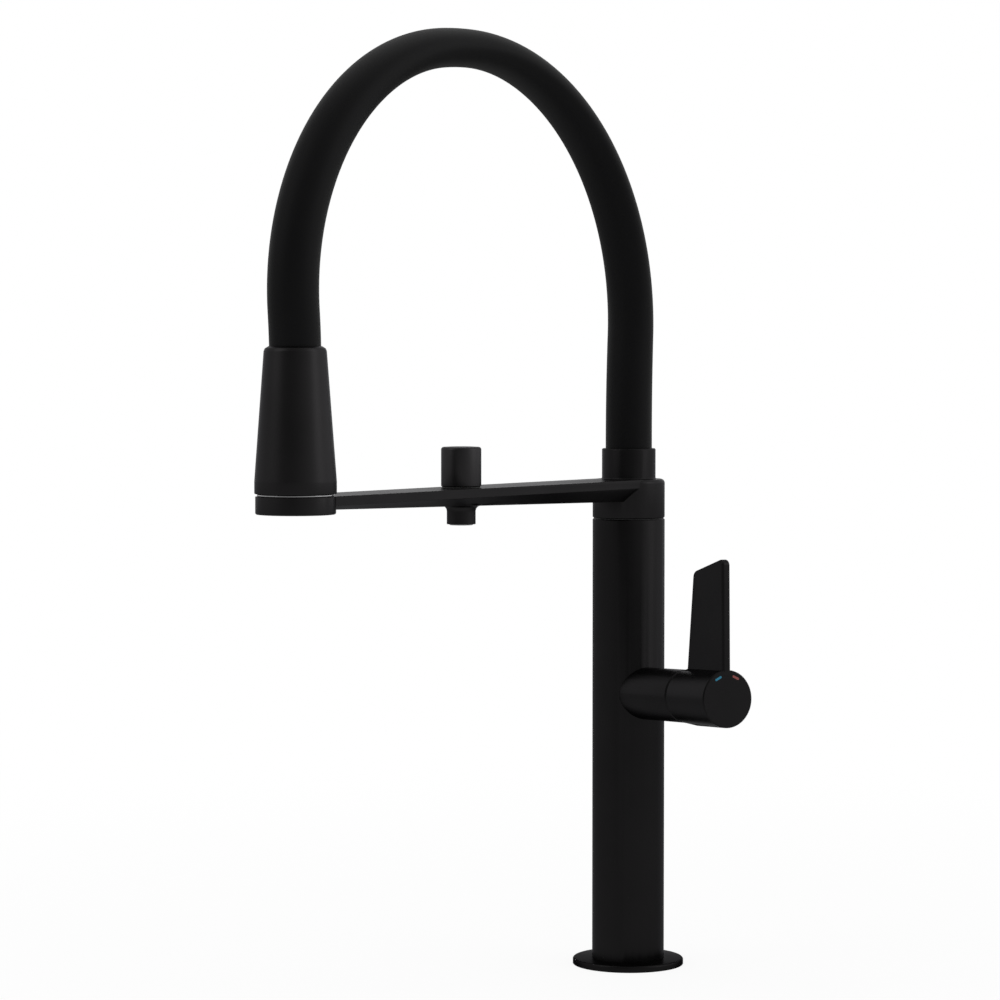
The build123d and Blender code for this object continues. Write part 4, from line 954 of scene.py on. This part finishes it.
def floor_finish(stage):
    """A pale floor that shows white to the camera and keeps a soft shadow near the object."""
    made = Finish("studio_floor")
    light = made.node("ShaderNodeLightPath")
    grain = made.noise(3, 2.0, 0.5)
    matt = made.node("ShaderNodeBsdfDiffuse", inputs={
        "Color": made.blend_colour(grain, (0.86, 0.86, 0.86), (0.88, 0.88, 0.88))})
    camera_ray = Wire(made.tree, light.outputs["Is Camera Ray"])
    white = made.node("ShaderNodeEmission", inputs={
        "Color": (1, 1, 1), "Strength": camera_ray * (1 - stage.mirror_floor) + stage.mirror_floor})
    seen = camera_ray.maths("MAXIMUM", Wire(made.tree, light.outputs["Is Glossy Ray"]))
    away = made.node("ShaderNodeMapRange", {"interpolation_type": "SMOOTHERSTEP"}, {
        "Value": vector_node(made.tree, "LENGTH", made.place),
        "From Min": stage.shadow_full, "From Max": stage.shadow_gone})
    share_white = seen * (Wire(made.tree, away.outputs[0]) * stage.floor_shadow + (1 - stage.floor_shadow))
    mix = made.node("ShaderNodeMixShader")
    put(made.tree, mix.inputs[0], share_white)
    made.tree.links.new(matt.outputs[0], mix.inputs[1])
    made.tree.links.new(white.outputs[0], mix.inputs[2])
    made.tree.links.new(mix.outputs[0], made.out.inputs["Surface"])
    return made.material


def floor_plane(half, material):
    mesh = bpy.data.meshes.new("floor")
    corners = [(-half, -half, 0), (half, -half, 0), (half, half, 0), (-half, half, 0)]
    mesh.from_pydata(corners, [], [(0, 1, 2, 3)])
    mesh.materials.append(material)
    floor = bpy.data.objects.new("floor", mesh)
    bpy.context.scene.collection.objects.link(floor)


def softbox(name, power, size, azimuth, elevation, distance):
    """An area light that faces the middle of the tap, by direction, elevation and distance."""
    lamp = bpy.data.lights.new(name, "AREA")
    lamp.shape = "RECTANGLE"
    lamp.size, lamp.size_y = size
    lamp.energy = power
    holder = bpy.data.objects.new(name, lamp)
    bpy.context.scene.collection.objects.link(holder)
    a, e = math.radians(azimuth), math.radians(elevation)
    back = Vector((math.sin(a) * math.cos(e), -math.cos(a) * math.cos(e), math.sin(e)))
    holder.location = AIM + back * distance
    holder.rotation_euler = back.to_track_quat("Z", "Y").to_euler()


def studio_world(stage, front, right):
    """White to the camera. The metal mirrors it dark behind the camera and brighter all round."""
    world = bpy.data.worlds.new("studio_world")
    bpy.context.scene.world = world
    world.use_nodes = True
    tree = world.node_tree
    tree.nodes.clear()
    out = tree.nodes.new("ShaderNodeOutputWorld")
    light = tree.nodes.new("ShaderNodeLightPath")
    glow = tree.nodes.new("ShaderNodeBackground")
    glow.inputs["Color"].default_value = (1, 1, 1, 1)
    heading = Wire(tree, tree.nodes.new("ShaderNodeTexCoord").outputs["Generated"])
    forwards = vector_node(tree, "DOT_PRODUCT", heading, front)
    sideways = vector_node(tree, "DOT_PRODUCT", heading, right)
    walls = (1 - forwards) * stage.mirror_rise + sideways * stage.mirror_right + stage.mirror_front
    upright = vector_node(tree, "DOT_PRODUCT", heading, (0, 0, 1))
    mirrored = walls * (1 - upright ** 2 * stage.mirror_ceiling)
    camera_ray = Wire(tree, light.outputs["Is Camera Ray"]).maths(
        "MAXIMUM", Wire(tree, light.outputs["Is Transmission Ray"]))
    glossy_ray = Wire(tree, light.outputs["Is Glossy Ray"])
    other = (1 - camera_ray - glossy_ray) * stage.world_strength
    put(tree, glow.inputs["Strength"], camera_ray + glossy_ray * mirrored + other)
    tree.links.new(glow.outputs[0], out.inputs["Surface"])


class TAP_OT_stage(bpy.types.Operator):
    """Set up the floor, the studio light and the camera"""
    bl_idname = "tap.stage"
    bl_label = "Stage"

    def execute(self, context):
        stage = context.scene.tap_stage
        context.scene.view_settings.view_transform = "Standard"
        forward = Vector((-math.sin(stage.camera_azimuth), math.cos(stage.camera_azimuth), 0))
        right = Vector((forward.y, -forward.x, 0))
        studio_world(stage, -forward, right)
        floor_plane(stage.floor_reach, floor_finish(stage))
        facing = math.degrees(stage.camera_azimuth)
        for name, power, size, turn, elevation, distance in SOFTBOXES:
            softbox(name, getattr(stage, power), size, facing + turn, elevation, distance)
        lens = bpy.data.cameras.new("camera")
        lens.lens = stage.camera_lens
        lens.sensor_width = SENSOR_WIDTH
        lens.clip_start, lens.clip_end = 0.01, 100
        camera = bpy.data.objects.new("camera", lens)
        context.scene.collection.objects.link(camera)
        back = forward * stage.camera_distance + right * stage.camera_aside
        camera.location = Vector((0, 0, stage.camera_height)) - back
        look = forward * math.cos(stage.camera_dip) - Vector((0, 0, math.sin(stage.camera_dip)))
        camera.rotation_mode = "QUATERNION"
        camera.rotation_quaternion = look.to_track_quat("-Z", "Y")
        context.scene.camera = camera
        return {"FINISHED"}


class TAP_PT_panel(bpy.types.Panel):
    """Buttons for the pieces, the finishes and the stage"""
    bl_idname = "TAP_PT_panel"
    bl_label = "Kitchen tap"
    bl_space_type = "VIEW_3D"
    bl_region_type = "UI"
    bl_category = "Tap"

    def draw(self, context):
        for group in ("tap_sizes", "tap_colours", "tap_stage"):
            settings = getattr(context.scene, group)
            box = self.layout.box()
            for name in settings.__annotations__:
                box.prop(settings, name)
        for operator in OPERATORS:
            self.layout.operator(operator.bl_idname)


OPERATORS = (
    TAP_OT_finishes,
    TAP_OT_hose,
    TAP_OT_base,
    TAP_OT_column,
    TAP_OT_arm,
    TAP_OT_knob,
    TAP_OT_head,
    TAP_OT_nozzles,
    TAP_OT_lever,
    TAP_OT_stage,
)
GROUPS = (
    ("tap_sizes", TapSizes),
    ("tap_colours", TapColours),
    ("tap_stage", StageSettings),
)


def register():
    for name, group in GROUPS:
        bpy.utils.register_class(group)
        setattr(bpy.types.Scene, name, PointerProperty(type=group))
    for operator in OPERATORS:
        bpy.utils.register_class(operator)
    bpy.utils.register_class(TAP_PT_panel)


def unregister():
    bpy.utils.unregister_class(TAP_PT_panel)
    for operator in reversed(OPERATORS):
        bpy.utils.unregister_class(operator)
    for name, group in reversed(GROUPS):
        delattr(bpy.types.Scene, name)
        bpy.utils.unregister_class(group)


def main():
    register()
    for operator in OPERATORS:
        group, name = operator.bl_idname.split(".")
        getattr(getattr(bpy.ops, group), name)()


if __name__ == "__main__":
    main()
